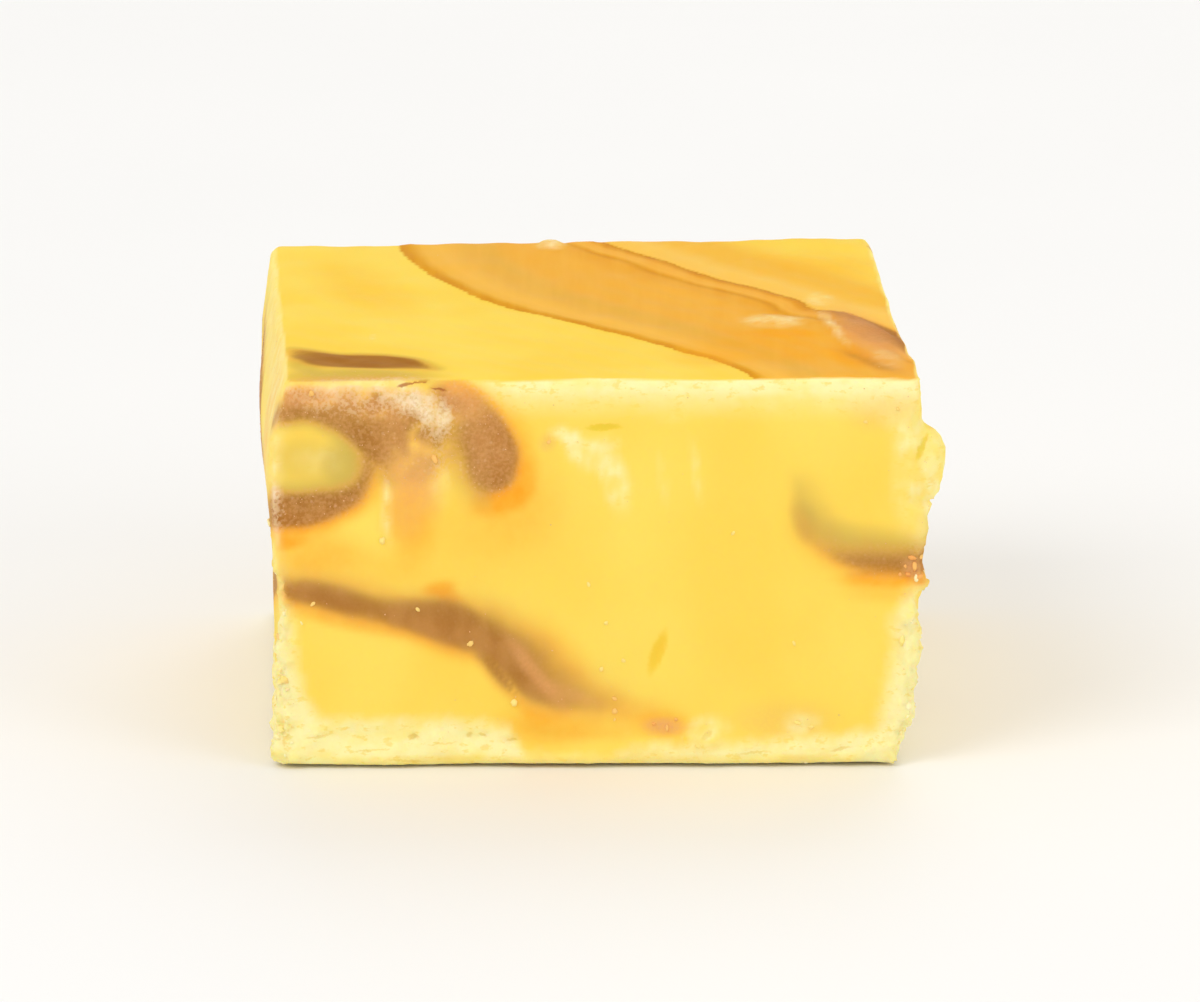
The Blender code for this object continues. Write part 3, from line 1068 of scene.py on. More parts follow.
def smear_amounts(smear, places):
    """Cocoa, amber and olive of one knife smear at 2-D places."""
    start, end = np.array(smear.start), np.array(smear.end)
    length = math.hypot(*(end - start))
    heading = (end - start) / length
    offset = places - start
    along = offset @ heading
    aside = heading[0] * offset[:, 1] - heading[1] * offset[:, 0]
    rooted = along - smear.slant * aside
    flat = np.column_stack([rooted, FINGER_DRAG * aside, np.zeros(len(places))])
    fingers = noise_at(flat, smear.pitch, smear.seed)
    fingers += FINE_FINGERS * noise_at(flat, FINE_PITCH * smear.pitch, smear.seed + 1)
    stations = np.linspace(0, length, len(smear.lengths))
    reach = np.interp(along, stations, smear.lengths) * (0.78 + 0.75 * fingers)
    tip = aside / np.maximum(reach, LEAST_FINGER)
    body = smooth_step(*SMEAR_EDGE, aside) * smooth_step(*SMEAR_TIP, tip)
    ends = smooth_step(*SMEAR_END, along)
    cocoa = body * ends * smear.strength * (0.86 + 0.2 * fingers)
    olive = smooth_step(*SMEAR_OLIVE_EDGE, aside) * smooth_step(*SMEAR_OLIVE_TIP, tip) * ends * SMEAR_OLIVE
    amber = hump(aside + SMEAR_AMBER_PLACE, SMEAR_AMBER_REACH) * ends * SMEAR_AMBER
    return {"cocoa": np.clip(cocoa, 0, 1), "amber": amber, "olive": olive}


# Where a patch's colour starts and is full, in shares of its half sizes, and how clouds change it.
PATCH_FADE = (1.45, 0.35)
CLOUD_MOST = 1.3


def paint_face(name, places, cloudy):
    """Amounts of each colour at 2-D places on one face; cloudy breaks up the cocoa patches."""
    amounts = {colour: np.zeros(len(places)) for colour in COLOURS}
    layers = [ribbon_amounts(ribbon, places) for ribbon in RIBBONS[name]]
    layers += [smear_amounts(smear, places) for smear in SMEARS.get(name, ())]
    for layer in layers:
        for colour, value in layer.items():
            amounts[colour] = np.maximum(amounts[colour], value)
    for patch in PATCHES[name]:
        oval = in_oval(places, *patch[1:6])
        value = smooth_step(*PATCH_FADE, oval) * patch.strength
        if patch.colour == "cocoa" and patch.strength > HAZE:
            value *= np.clip(0.9 + 0.7 * cloudy, 0, CLOUD_MOST)
        amounts[patch.colour] = 1 - (1 - amounts[patch.colour]) * (1 - np.clip(value, 0, 1))
    amounts["cocoa"] *= 1 - amounts.pop("clear")
    return amounts


# How far the marbling's outlines wander, in millimetres: where they are laid out closely, what is
# added elsewhere, the size of the waves and the first of three seeds.
WANDERS = ((0.16, 0.85, 5.0, 1), (0.10, 0.28, 1.7, 11))

# From here to here, front to back, the marbling changes from laid out closely to loose.
LOOSE_FROM, LOOSE_TO = -15.5, -9.0

# Noise that breaks up the cocoa patches.
CLOUDS = ((1.0, 1.5, 14), (0.6, 0.6, 15))

# A face with less share in a point than this gives it no colour.
LEAST_SHARE = 0.004


def warped(surface):
    """The places, pushed about so that the marbling's outlines wander: little on the front and the
    top, which are laid out closely, and more elsewhere."""
    places = surface.places
    loose = smooth_step(LOOSE_FROM, LOOSE_TO, places[:, 1]) * (1 - surface.shares["top"])
    shift = np.zeros_like(places)
    for axis in range(3):
        for close, added, size, seed in WANDERS:
            shift[:, axis] += (close + added * loose) * noise_at(places, size, seed + axis)
    return places + shift


def paint(surface):
    """Amounts of cocoa, amber, olive, rose and pale at every point."""
    moved = warped(surface)
    cloudy = layered_noise(surface.places, *CLOUDS)
    amounts = {colour: np.zeros(surface.count) for colour in COLOURS if colour != "clear"}
    for face in FACES:
        share = surface.shares[face.name]
        near = np.flatnonzero(share > LEAST_SHARE)
        flat_places = moved[near][:, [face.across, face.up]]
        for colour, value in paint_face(face.name, flat_places, cloudy[near]).items():
            amounts[colour][near] += share[near] * value
    return amounts


# The dry skin wanders in and out by this noise, and more slowly by the second one.
SKIN_WANDER = ((1.0, 1.3, 21), (0.7, 0.5, 23))
SKIN_SLOW_WANDER = (1.0, 4.0, 22)
EDGE_WANDER = 0.22
FOOT_WANDER = 0.26

# How far outside and inside its width the skin starts and is full.
EDGE_FADE = (0.9, -0.7)
FOOT_FADE = (0.7, -0.55)

# The pale crown along the upper edge, partly dry skin and partly a painted highlight on the rounded edge:
# where it starts on the front, its layers there as (strength, height where it starts, height where it is
# full), and the one on the other sides.
CROWN_START = (-9.0, -4.5)
FRONT_CROWN = ((0.64, 21.1, 23.2), (0.36, 22.7, 23.4))
PLAIN_CROWN = (0.4, 22.6, 23.8)

# Heights between which the skin of the upright edges fades, its strength above them and what is
# added below them.
EDGE_SKIN_HEIGHTS = (15.0, 9.5)
EDGE_SKIN_STRENGTH = (0.35, 0.6)

# The lowest lip of the foot is less dry than the skin above it: strength above it, and what it loses.
LIP_HEIGHTS = (1.0, 0.6)
LIP_STRENGTH = (0.95, 0.4)

# The upright edges are ragged this far in, and most below these heights.
RAGGED_WIDTH = (1.5, 0.1)
RAGGED_HEIGHTS = (15.0, 9.0)
LEAST_RAGGED = 0.2

# A point belongs to the inside of a side from this share on.
OWN_SHARE = 0.6


def dry_skin_and_lit_crown(surface):
    """How dry and pale the surface is from its edges, its foot and the crown along its upper edge, which
    is partly a painted highlight on the rounded edge; its foot skin; and how ragged it is.
    """
    across, height = surface.places[:, 0], surface.places[:, 2]
    wander = layered_noise(surface.places, *SKIN_WANDER)
    slow = layered_noise(surface.places, SKIN_SLOW_WANDER)
    dry, skins, ragged = np.zeros(surface.count), np.zeros(surface.count), np.zeros(surface.count)
    for face in SIDES:
        share = surface.shares[face.name]
        from_low, from_high = surface.edge_distances(face, share > OWN_SHARE)
        if face.name == "front":
            low_width, high_width = profile(FRONT_LEFT_SKIN, height), profile(FRONT_RIGHT_SKIN, height)
            skin_top = profile(FRONT_FOOT_SKIN, across)
            crown = np.zeros(surface.count)
            for strength, start, full in FRONT_CROWN:
                crown += strength * smooth_step(*CROWN_START, across) * smooth_step(start, full, height)
        else:
            low_width = high_width = profile(PLAIN_EDGE_SKIN, height) * (1 + 0.8 * slow)
            skin_top = PLAIN_FOOT_SKIN + 0.9 * slow
            strength, start, full = PLAIN_CROWN
            crown = strength * smooth_step(start, full, height + 0.5 * slow)
        outer, inner = EDGE_FADE
        low_edge = smooth_step(low_width + outer, low_width + inner, from_low + EDGE_WANDER * wander)
        high_edge = smooth_step(high_width + outer, high_width + inner, from_high + EDGE_WANDER * wander)
        least, added = EDGE_SKIN_STRENGTH
        faded = least + added * smooth_step(*EDGE_SKIN_HEIGHTS, height)
        outer, inner = FOOT_FADE
        skin = smooth_step(skin_top + outer, skin_top + inner, height + FOOT_WANDER * wander)
        most, lost = LIP_STRENGTH
        lip = most - lost * smooth_step(*LIP_HEIGHTS, height + 0.15 * slow)
        edges = np.maximum(low_edge, high_edge) * faded
        # The crown is partly dry skin and partly a painted highlight on the rounded upper edge.
        dry += share * np.maximum(np.maximum(edges, lip * skin), crown)
        skins += share * skin
        low_share = LEAST_RAGGED + (1 - LEAST_RAGGED) * smooth_step(*RAGGED_HEIGHTS, height)
        ragged += share * smooth_step(*RAGGED_WIDTH, np.minimum(from_low, from_high)) * low_share
    foot = surface.shares["foot"]
    dry += foot * (0.8 + 0.2 * wander)
    return dry, skins + foot, ragged


# The swath's lines are only looked for above this height, and elsewhere count as this far away.
SWATH_LOWEST = 12.0
FAR_AWAY = 20.0
SWATH_WANDER = (0.12, 3.0, 31)
SWATH_SPACING = 0.5


def swath_lines(surface):
    """Signed distances on the top to both sides of the swath, in millimetres, positive to its right."""
    near = np.flatnonzero(surface.places[:, 2] > SWATH_LOWEST)
    flat_places = surface.places[near][:, :2]
    flat_places = flat_places + layered_noise(surface.places[near], SWATH_WANDER)[:, None]
    distances = []
    for points, thinning in ((SWATH_LEFT, SWATH_THINNING), (SWATH_RIGHT, 0.0)):
        line = smooth_line(points, SWATH_SPACING)
        gap, side, nearest = from_line(flat_places, line)
        full = np.full(surface.count, FAR_AWAY)
        full[near] = gap * np.sign(side) * (1 + thinning * nearest / len(line))
        distances.append(full)
    return distances


# Share of the full depth that each kind of mark has, and how far the hollow reaches past the mark.
MARK_DEPTHS = ((PITS, 0.7), (FOOT_CRACKS, 0.5), (CHIPS, 0.7), (DARK_STROKES, 0.3))
NICK_DEPTH = 0.5
MARK_MARGIN = (0.12, 0.14)
MARK_FADE = (1.2, 0.3)
NICK_FADE = (1.2, 0.2)


def marks_depth(surface):
    """Share of the full depth that the pits, cracks, chips and the nick have at each point."""
    front = surface.shares["front"]
    flat = surface.places[:, [0, 2]]
    depth = np.zeros(surface.count)
    wider, taller = MARK_MARGIN
    for table, share in MARK_DEPTHS:
        for across, up, half_across, half_up, turn in table:
            oval = in_oval(flat, across, up, half_across + wider, half_up + taller, turn)
            depth = np.maximum(depth, share * smooth_step(*MARK_FADE, oval) * front)
    return depth + NICK_DEPTH * smooth_step(*NICK_FADE, in_oval(flat, *NICK)) * front


# The curled flake lies between these heights, to the right of this line and in front of this one.
FLAKE_BOTTOM = (13.4, 14.6)
FLAKE_TOP = (22.4, 21.4)
FLAKE_LEFT = (18.7, 19.4)
FLAKE_BACK = (-8.0, -10.0)


def flake_share(surface):
    """1 on the curled flake at the upper right of the front, 0 away from it."""
    across, back, height = surface.places.T
    level = smooth_step(*FLAKE_BOTTOM, height) * smooth_step(*FLAKE_TOP, height)
    return level * smooth_step(*FLAKE_LEFT, across) * smooth_step(*FLAKE_BACK, back)


# The pull of the left edge dies out from front to back and from the edge inwards.
PULL_BACK = 8.0
PULL_DEPTH = 26.0
PULL_WIDTH = (-17.0, -19.3)


def pull_left_edge(surface):
    """Moves the upper part of the left edge to the right, more towards the front."""
    across, back, height = surface.places.T
    near = np.clip((PULL_BACK - back) / PULL_DEPTH, 0.0, 1.0)
    surface.places[:, 0] += profile(LEFT_EDGE_PULL, height) * smooth_step(*PULL_WIDTH, across) * near


# The right edge's outline is read in rows from the points in front of the first and to the right of
# the second of these.  What is moved starts at the third, and dies out from front to back.
OUTLINE_ROW_HEIGHT = 0.35
OUTLINE_ROW_COUNT = 71
OUTLINE_FRONT = -15.0
OUTLINE_RIGHT = 15.0
FIT_START = 16.4
FIT_DEPTH = (-2.0, -12.0)


def fit_right_edge(surface):
    """Moves the right front edge sideways, until its outline follows the table."""
    across, back, height = surface.places.T
    rows = row_numbers(height, OUTLINE_ROW_HEIGHT, OUTLINE_ROW_COUNT)
    outer = np.full(OUTLINE_ROW_COUNT, -np.inf)
    region = (back < OUTLINE_FRONT) & (across > OUTLINE_RIGHT)
    np.maximum.at(outer, rows[region], across[region])
    filled = np.isfinite(outer)
    now = np.interp(height, row_middles(filled, OUTLINE_ROW_HEIGHT), outer[filled])
    share = np.clip((across - FIT_START) / (now - FIT_START), 0.0, 1.0) ** 2
    near = smooth_step(*FIT_DEPTH, back)
    surface.places[:, 0] += (profile(RIGHT_EDGE, height) - now) * share * near


# Smoothing as (rounds, strength): over everything, on the flat of each face, low down, and on the
# flake before and after its outline is fitted.
SMOOTH_ALL = (2, 0.35)
SMOOTH_FLAT = (14, 0.5)
SMOOTH_LOW = (6, 0.45)
SMOOTH_FLAKE = (60, 0.5)
SMOOTH_FLAKE_AGAIN = (10, 0.4)

# A face counts as flat as the largest part of its outward direction goes from the first of these to
# the second.  Low down is between the heights that follow.
FLAT_FROM = (0.95, 0.998)
LOW_TOP = (13.0, 11.0)
LOW_BOTTOM = (0.05, 0.6)


def shape_block(surface):
    """Smooths the fine mesh, and fits its outline at the left and the right edge."""
    surface.read_outward()
    flatness = np.max(np.abs(surface.outward), axis=1)
    surface.relax(SMOOTH_ALL, np.ones(surface.count))
    surface.relax(SMOOTH_FLAT, smooth_step(*FLAT_FROM, flatness))
    height = surface.places[:, 2]
    surface.relax(SMOOTH_LOW, smooth_step(*LOW_TOP, height) * smooth_step(*LOW_BOTTOM, height))
    pull_left_edge(surface)
    surface.relax(SMOOTH_FLAKE, flake_share(surface))
    fit_right_edge(surface)
    surface.relax(SMOOTH_FLAKE_AGAIN, flake_share(surface))
    fit_right_edge(surface)
    surface.read_outward()


# Noises of the relief, each as its depth or strength, the size of its lumps and its seed: the wide
# swell, the knife's upright drag marks, the foot skin's lumps, the torn upright edges, the crumbled
# cocoa, the ruck in the top's fold and the print of the tray.
SWELL = (0.035, 2.4, 51)
DRAG_MARKS = (0.007, (0.45, 0.45, 5.0), 52)
SKIN_LUMPS = ((0.6, 1.2, 53), (0.6, 0.48, 54))
TORN_EDGE = ((0.6, 1.15, 55), (1.0, 0.5, 56), (0.7, 0.3, 63))
CRUMBLED = (0.035, 0.36, 57)
RUCK = (0.05, (0.5, 3.0, 1.0), 60)
TRAY_PRINT = (0.06, 0.8, 58)

# The groove above the foot skin: its height, how that wanders, its depth, half width and breaks, and
# from where to where behind the front it deepens.
GROOVE_HEIGHT = 2.0
GROOVE_WANDER = (0.5, 4.0, 43)
GROOVE_DEPTH = 0.2
GROOVE_REACH = 0.35
GROOVE_BREAKS = (1.0, 1.9, 44)
GROOVE_BREAK_LEVELS = (0.05, 0.35)
GROOVE_START = (-17.0, -15.0)

# On the top: how high the swath stands and from where to where at its left and right lines, the two
# furrows along its right line, and the spatula's strokes.
SWATH_HEIGHT = 0.05
SWATH_LEFT_RISE = (0.0, 0.7)
SWATH_RIGHT_RISE = (0.1, -0.6)
FURROW_DEPTH = 0.05
FURROW_REACH = 0.5
FURROW_GAP = 2.0
STROKE_HEIGHT = 0.018
STROKES_PER_MM = 2.1
STROKE_WANDER = (1.5, 6.0, 59)

# Small shapes on the top, as ovals: a burst bubble, a scrap at the back edge and a folded flap.
BUBBLE = (10.8, -3.2, 1.5, 1.6, 0)
BUBBLE_HEIGHT = 0.12
BUBBLE_RIM_DEPTH = 0.05
SCRAP = (-2.8, 17.2, 0.9, 1.3, 0)
SCRAP_HEIGHT = 0.25
FOLD = (16.2, -7.6, 1.7, 7.0, 14)
FOLD_HEIGHT = 0.16


def top_relief(surface, lines):
    """Relief of the spread top: the swath, the spatula's strokes, a bubble, a scrap and a fold."""
    places = surface.places
    flat = places[:, :2]
    left, right = lines
    relief = SWATH_HEIGHT * smooth_step(*SWATH_LEFT_RISE, left) * smooth_step(*SWATH_RIGHT_RISE, right)
    relief -= FURROW_DEPTH * (hump(right + FURROW_GAP, FURROW_REACH) + hump(right, FURROW_REACH))
    relief += STROKE_HEIGHT * np.sin(left * STROKES_PER_MM + layered_noise(places, STROKE_WANDER))
    bubble = in_oval(flat, *BUBBLE)
    relief += BUBBLE_HEIGHT * smooth_step(1.0, 0.1, bubble) - BUBBLE_RIM_DEPTH * hump(bubble - 1.15, 0.4)
    relief += SCRAP_HEIGHT * smooth_step(1.1, 0.4, in_oval(flat, *SCRAP))
    fold = in_oval(flat, *FOLD)
    relief += FOLD_HEIGHT * smooth_step(1.15, 0.8, fold)
    relief += smooth_step(1.2, 0.8, fold) * layered_noise(places, RUCK)
    return surface.shares["top"] * relief


def add_relief(surface, amounts, skin, ragged, lines, settings):
    """Pushes the surface in and out along its own direction."""
    places = surface.places
    top, foot = surface.shares["top"], surface.shares["foot"]
    side = 1 - top - foot
    relief = layered_noise(places, SWELL)
    relief += side * layered_noise(places, DRAG_MARKS)
    relief += settings.skin_relief / MM * skin * side * layered_noise(places, *SKIN_LUMPS)
    groove_height = GROOVE_HEIGHT + layered_noise(places, GROOVE_WANDER)
    broken = smooth_step(*GROOVE_BREAK_LEVELS, layered_noise(places, GROOVE_BREAKS))
    broken *= smooth_step(*GROOVE_START, places[:, 1])
    relief -= GROOVE_DEPTH * hump(places[:, 2] - groove_height, GROOVE_REACH) * broken * side
    relief += settings.edge_relief / MM * ragged * side * layered_noise(places, *TORN_EDGE)
    crumbled = np.clip(amounts["grain"] + 0.6 * amounts["powder"], 0, 1)
    relief += crumbled * layered_noise(places, CRUMBLED)
    relief += top_relief(surface, lines)
    relief -= settings.pit_depth / MM * marks_depth(surface)
    tray = foot * layered_noise(places, TRAY_PRINT)
    surface.places = places + surface.outward * (relief - np.abs(tray))[:, None]
    surface.places[:, 2] = np.maximum(surface.places[:, 2], 0.0)


# The powder and the sugar lie in patches.
PATCHINESS = ((1.0, 0.8, 61), (0.7, (0.35, 0.35, 0.8), 62))

# How much of the dry skin, with the crown's painted highlight, cocoa and amber keep off.
COCOA_KEEPS_OFF = 0.92
AMBER_KEEPS_OFF = 0.85

# Cocoa is grainy by these shares: everywhere, and more in the front's upper left corner, in the
# crescent, on the upper sides and back, and in the top's front left corner.
GRAIN_EVERYWHERE = 0.14
CORNER_ACROSS = (-3.0, -6.0)
CORNER_HEIGHTS = (13.5, 16.0)
CRESCENT_GRAIN = 0.35
CRESCENT_ACROSS = (12.0, 14.0)
UPPER_GRAIN = 0.75
UPPER_HEIGHTS = (14.0, 18.0)
UPPER_BACK = (-12.0, 0.0)
TOP_CORNER_GRAIN = 0.6
TOP_CORNER_ACROSS = (-9.0, -11.5)
TOP_CORNER_BACK = (-14.0, -16.4)

# Share of the grain and of the sugar that the smooth spread top loses.
TOP_GRAIN_LOSS = 0.8
TOP_SUGAR_LOSS = 0.9

# Loose crumbs by where they lie: on the foot skin and on the ragged edges.
CRUMBS_ON_SKIN = 0.35
FRONT_CRUMB_LOSS = 0.85

# Sugar grains by where they lie: everywhere, on grainy cocoa, on powder and on the ragged edges.
SUGAR_EVERYWHERE = 0.004
SUGAR_ON_GRAIN = 0.3
SUGAR_ON_POWDER = 0.2
SUGAR_ON_EDGES = 0.03


def make_amounts(surface):
    """All the amounts that the material reads, by name, and the skin, raggedness and swath lines."""
    amounts = paint(surface)
    dry, skin, ragged = dry_skin_and_lit_crown(surface)
    lines = swath_lines(surface)
    across, back, height = surface.places.T
    front, top, foot = (surface.shares[name] for name in ("front", "top", "foot"))
    patchy = layered_noise(surface.places, *PATCHINESS)
    # Pale patches count as powder here, also the two on the top that are painted highlights on the bubble
    # and the scrap.
    amounts["powder"] = np.clip(amounts["pale"] * (0.85 + 0.75 * patchy), 0, 1)
    orange = np.clip(amounts["amber"] * 1.3, 0, 1)
    stained = np.clip(amounts["cocoa"] * 1.4, 0, 1)
    kept = dry * (1 - COCOA_KEEPS_OFF * stained) * (1 - AMBER_KEEPS_OFF * orange)
    amounts["pale"] = np.maximum(kept, amounts["powder"])
    corner = smooth_step(*CORNER_ACROSS, across) * smooth_step(*CORNER_HEIGHTS, height) * front
    crescent = CRESCENT_GRAIN * smooth_step(*CRESCENT_ACROSS, across) * front
    upper = UPPER_GRAIN * smooth_step(*UPPER_HEIGHTS, height) * smooth_step(*UPPER_BACK, back)
    grainy = np.clip(GRAIN_EVERYWHERE + corner + crescent + upper, 0, 1)
    speckling = smooth_step(0.15, 0.8, stained) * grainy * (1 - TOP_GRAIN_LOSS * top)
    top_corner = smooth_step(*TOP_CORNER_ACROSS, across) * smooth_step(*TOP_CORNER_BACK, back) * top
    amounts["grain"] = np.maximum(speckling, TOP_CORNER_GRAIN * top_corner)
    amounts["top"] = top
    amounts["front"] = smooth_step(0.3, 0.7, front)
    amounts["swath_left"], amounts["swath_right"] = lines
    crumbly = np.clip(CRUMBS_ON_SKIN * skin + ragged, 0, 1) * (1 - foot)
    amounts["crumbly"] = crumbly * (1 - FRONT_CRUMB_LOSS * front * smooth_step(0.9, 0.1, ragged))
    sugar = SUGAR_EVERYWHERE + SUGAR_ON_GRAIN * amounts["grain"]
    sugar = sugar + SUGAR_ON_POWDER * amounts["powder"] + SUGAR_ON_EDGES * ragged
    amounts["sugary"] = sugar * (1 - foot) * (1 - TOP_SUGAR_LOSS * top)
    return amounts, skin, ragged, lines


def write_amounts(mesh, amounts):
    """Keeps each amount on the mesh, as an attribute that materials and trees read by name."""
    for name, values in amounts.items():
        layer = mesh.attributes.new(name, "FLOAT", "POINT")
        layer.data.foreach_set("value", values.astype(np.float32))


# Materials.

# Where a mark's tint starts and is full, in shares of its oval.
OVAL_FADE = (1.25, 0.55)


class Nodes:
    """Adds nodes to a tree.  An input takes a plain value or another node's output."""

    def __init__(self, tree):
        """Takes the tree that the nodes go into."""
        self.tree = tree

    def feed(self, socket, value):
        """Links another node's output to the socket, or sets a plain value on it."""
        if isinstance(value, bpy.types.NodeSocket):
            self.tree.links.new(value, socket)
        elif value is not None:
            socket.default_value = value

    def put(self, kind, inputs=(), **settings):
        """A new node with its inputs, by name or number, and its settings."""
        node = self.tree.nodes.new(kind)
        for name, value in settings.items():
            setattr(node, name, value)
        for name, value in dict(inputs).items():
            self.feed(node.inputs[name], value)
        return node

    def amount(self, name):
        """One of the amounts that are kept on the mesh."""
        return self.put("ShaderNodeAttribute", attribute_name=name).outputs["Fac"]

    def math(self, operation, first, second=None, clamp=False):
        """One sum on numbers, kept between 0 and 1 if clamp is on."""
        inputs = {0: first} if second is None else {0: first, 1: second}
        return self.put("ShaderNodeMath", inputs, operation=operation, use_clamp=clamp).outputs[0]

    def step(self, value, low, high, to_low=0.0, to_high=1.0):
        """A soft change from to_low to to_high as value goes from low to high."""
        sockets = {"Value": value, "From Min": low, "From Max": high, "To Min": to_low, "To Max": to_high}
        return self.put("ShaderNodeMapRange", sockets, interpolation_type="SMOOTHSTEP").outputs["Result"]

    def mix(self, factor, first, second, blend="MIX"):
        """The first colour, changed by the second as far as factor says."""
        node = self.put("ShaderNodeMix", data_type="RGBA", blend_type=blend, clamp_result=True)
        for index, value in ((0, factor), (6, first), (7, second)):
            self.feed(node.inputs[index], (*value, 1.0) if isinstance(value, tuple) else value)
        return node.outputs[2]

    def millimetres(self, stretch=(1.0, 1.0, 1.0), turn=0.0):
        """Object coordinates in millimetres, divided by stretch, turned about Z."""
        coordinates = self.put("ShaderNodeTexCoord").outputs["Object"]
        scale = tuple(1 / MM / part for part in stretch)
        inputs = {"Vector": coordinates, "Rotation": (0.0, 0.0, turn), "Scale": scale}
        return self.put("ShaderNodeMapping", inputs).outputs["Vector"]

    def noise(self, vector, size, detail=2.0, roughness=0.5):
        """Noise from 0 to 1, with lumps of a size in millimetres."""
        inputs = {"Vector": vector, "Scale": 1 / size, "Detail": detail, "Roughness": roughness}
        return self.put("ShaderNodeTexNoise", inputs).outputs["Fac"]

    def ovals(self, places, marks):
        """1 inside any of the small ovals of a table of marks on the front face, 0 outside."""
        covered = None
        for across, up, half_across, half_up, turn in marks:
            middle = {0: places, 1: (across, 0.0, up)}
            moved = self.put("ShaderNodeVectorMath", middle, operation="SUBTRACT")
            settings = {"rotation_type": "AXIS_ANGLE", "invert": True}
            turned = self.put("ShaderNodeVectorRotate", {"Vector": moved.outputs[0]}, **settings)
            turned.inputs["Axis"].default_value = (0.0, -1.0, 0.0)
            turned.inputs["Angle"].default_value = math.radians(turn)
            stretch = {0: turned.outputs[0], 1: (1 / half_across, 0.0, 1 / half_up)}
            scaled = self.put("ShaderNodeVectorMath", stretch, operation="MULTIPLY")
            reach = self.put("ShaderNodeVectorMath", {0: scaled.outputs[0]}, operation="LENGTH")
            inside = self.step(reach.outputs["Value"], *OVAL_FADE)
            covered = inside if covered is None else self.math("MAXIMUM", covered, inside)
        return covered

    def ramp(self, value, stops):
        """A colour ramp through (position, colour) stops."""
        node = self.put("ShaderNodeValToRGB", {"Fac": value})
        elements = node.color_ramp.elements
        while len(elements) < len(stops):
            elements.new(0.5)
        for element, (position, colour) in zip(elements, stops):
            element.position = position
            element.color = (*colour, 1.0)
        return node.outputs["Color"]


def new_material(name):
    """A new material, the maker of its nodes and its shader."""
    material = bpy.data.materials.new(name)
    material.use_nodes = True
    shader = material.node_tree.nodes["Principled BSDF"]
    return material, Nodes(material.node_tree), shader


def plain_finish(shader, roughness, shine):
    """Sets how rough and how shiny a material is all over."""
    shader.inputs["Roughness"].default_value = roughness
    shader.inputs["Specular IOR Level"].default_value = shine


# Colours of the swath by distance from its lines: from the left line inwards, and from well inside the
# right line to well beyond it.  The distances are shares of the reach.  The dark start of the left profile
# lies on the step up to the swath, and the dark stops around 0.388 and 0.502 of the right one lie on its
# two furrows: painted shade along them, over the swath's own orange.
SWATH_REACH = 9.0
LEFT_PROFILE = (
    (0.000, linear(208, 142, 44)),
    (0.060, linear(216, 152, 50)),
    (0.160, linear(244, 188, 82)),
    (0.290, linear(248, 194, 92)),
    (0.500, linear(236, 182, 84)),
    (0.700, linear(230, 180, 84)),
    (0.950, linear(242, 180, 78)),
)
RIGHT_PROFILE = (
    (0.000, linear(240, 180, 78)),
    (0.250, linear(244, 180, 76)),
    (0.355, linear(236, 168, 66)),
    (0.388, linear(218, 148, 48)),
    (0.415, linear(246, 184, 82)),
    (0.450, linear(244, 178, 78)),
    (0.475, linear(222, 150, 50)),
    (0.502, linear(202, 134, 40)),
    (0.520, linear(254, 206, 98)),
    (0.600, linear(254, 210, 106)),
    (0.690, linear(248, 194, 80)),
    (0.790, linear(247, 194, 78)),
    (0.880, linear(253, 207, 84)),
    (0.960, linear(254, 218, 90)),
)


# The spatula's strokes in the swath: how long they are drawn out, their heading and their colour.
STROKE_STRETCH = (1.0, 12.0, 1.0)
STROKE_TURN = math.radians(37)
STROKE_NOISE = (0.9, 2.0)
STROKE_TINT = linear(252, 196, 92)


def top_colour(n, plain, colours):
    """The spread top: the orange swath between its two lines, and the strokes beside it."""
    left, right = n.amount("swath_left"), n.amount("swath_right")
    strokes = n.noise(n.millimetres(STROKE_STRETCH, STROKE_TURN), *STROKE_NOISE)
    left_place = n.math("DIVIDE", left, SWATH_REACH, True)
    reach = {"Value": right, "From Min": -SWATH_REACH, "From Max": SWATH_REACH}
    right_place = n.put("ShaderNodeMapRange", reach).outputs["Result"]
    from_left = n.ramp(left_place, LEFT_PROFILE)
    from_right = n.ramp(right_place, RIGHT_PROFILE)
    nearer_right = n.step(n.math("ADD", left, right), -2.5, 2.0)
    swath = n.mix(nearer_right, from_left, from_right)
    swath = n.mix(0.2, swath, tuple(colours.swath))
    swath = n.mix(n.step(strokes, 0.35, 0.7, 0.0, 0.22), swath, STROKE_TINT)
    inside = n.step(left, -0.28, 0.22)
    beyond = n.step(right, 5.0, 10.5, 1.0, 0.0)
    return n.mix(n.math("MULTIPLY", inside, beyond), plain, swath)


# Tints that the fudge's colours vary between.
DEEP_YELLOW = linear(252, 208, 78)
LIGHT_YELLOW = linear(254, 225, 106)
DEEP_COCOA = linear(168, 110, 54)
MILKY_COCOA = linear(196, 140, 80)
TOP_COCOA = linear(158, 116, 62)
THIN_COCOA = linear(228, 158, 72)

# Noises of the colours: size of the lumps in millimetres, detail and roughness.
WIDE_SHADES = (6.0, 1.0)
SMALL_SHADES = (0.8, 3.0)
STREAKS = (1.3, 1.0, 0.4)
DUST = (0.22, 3.0, 0.7)


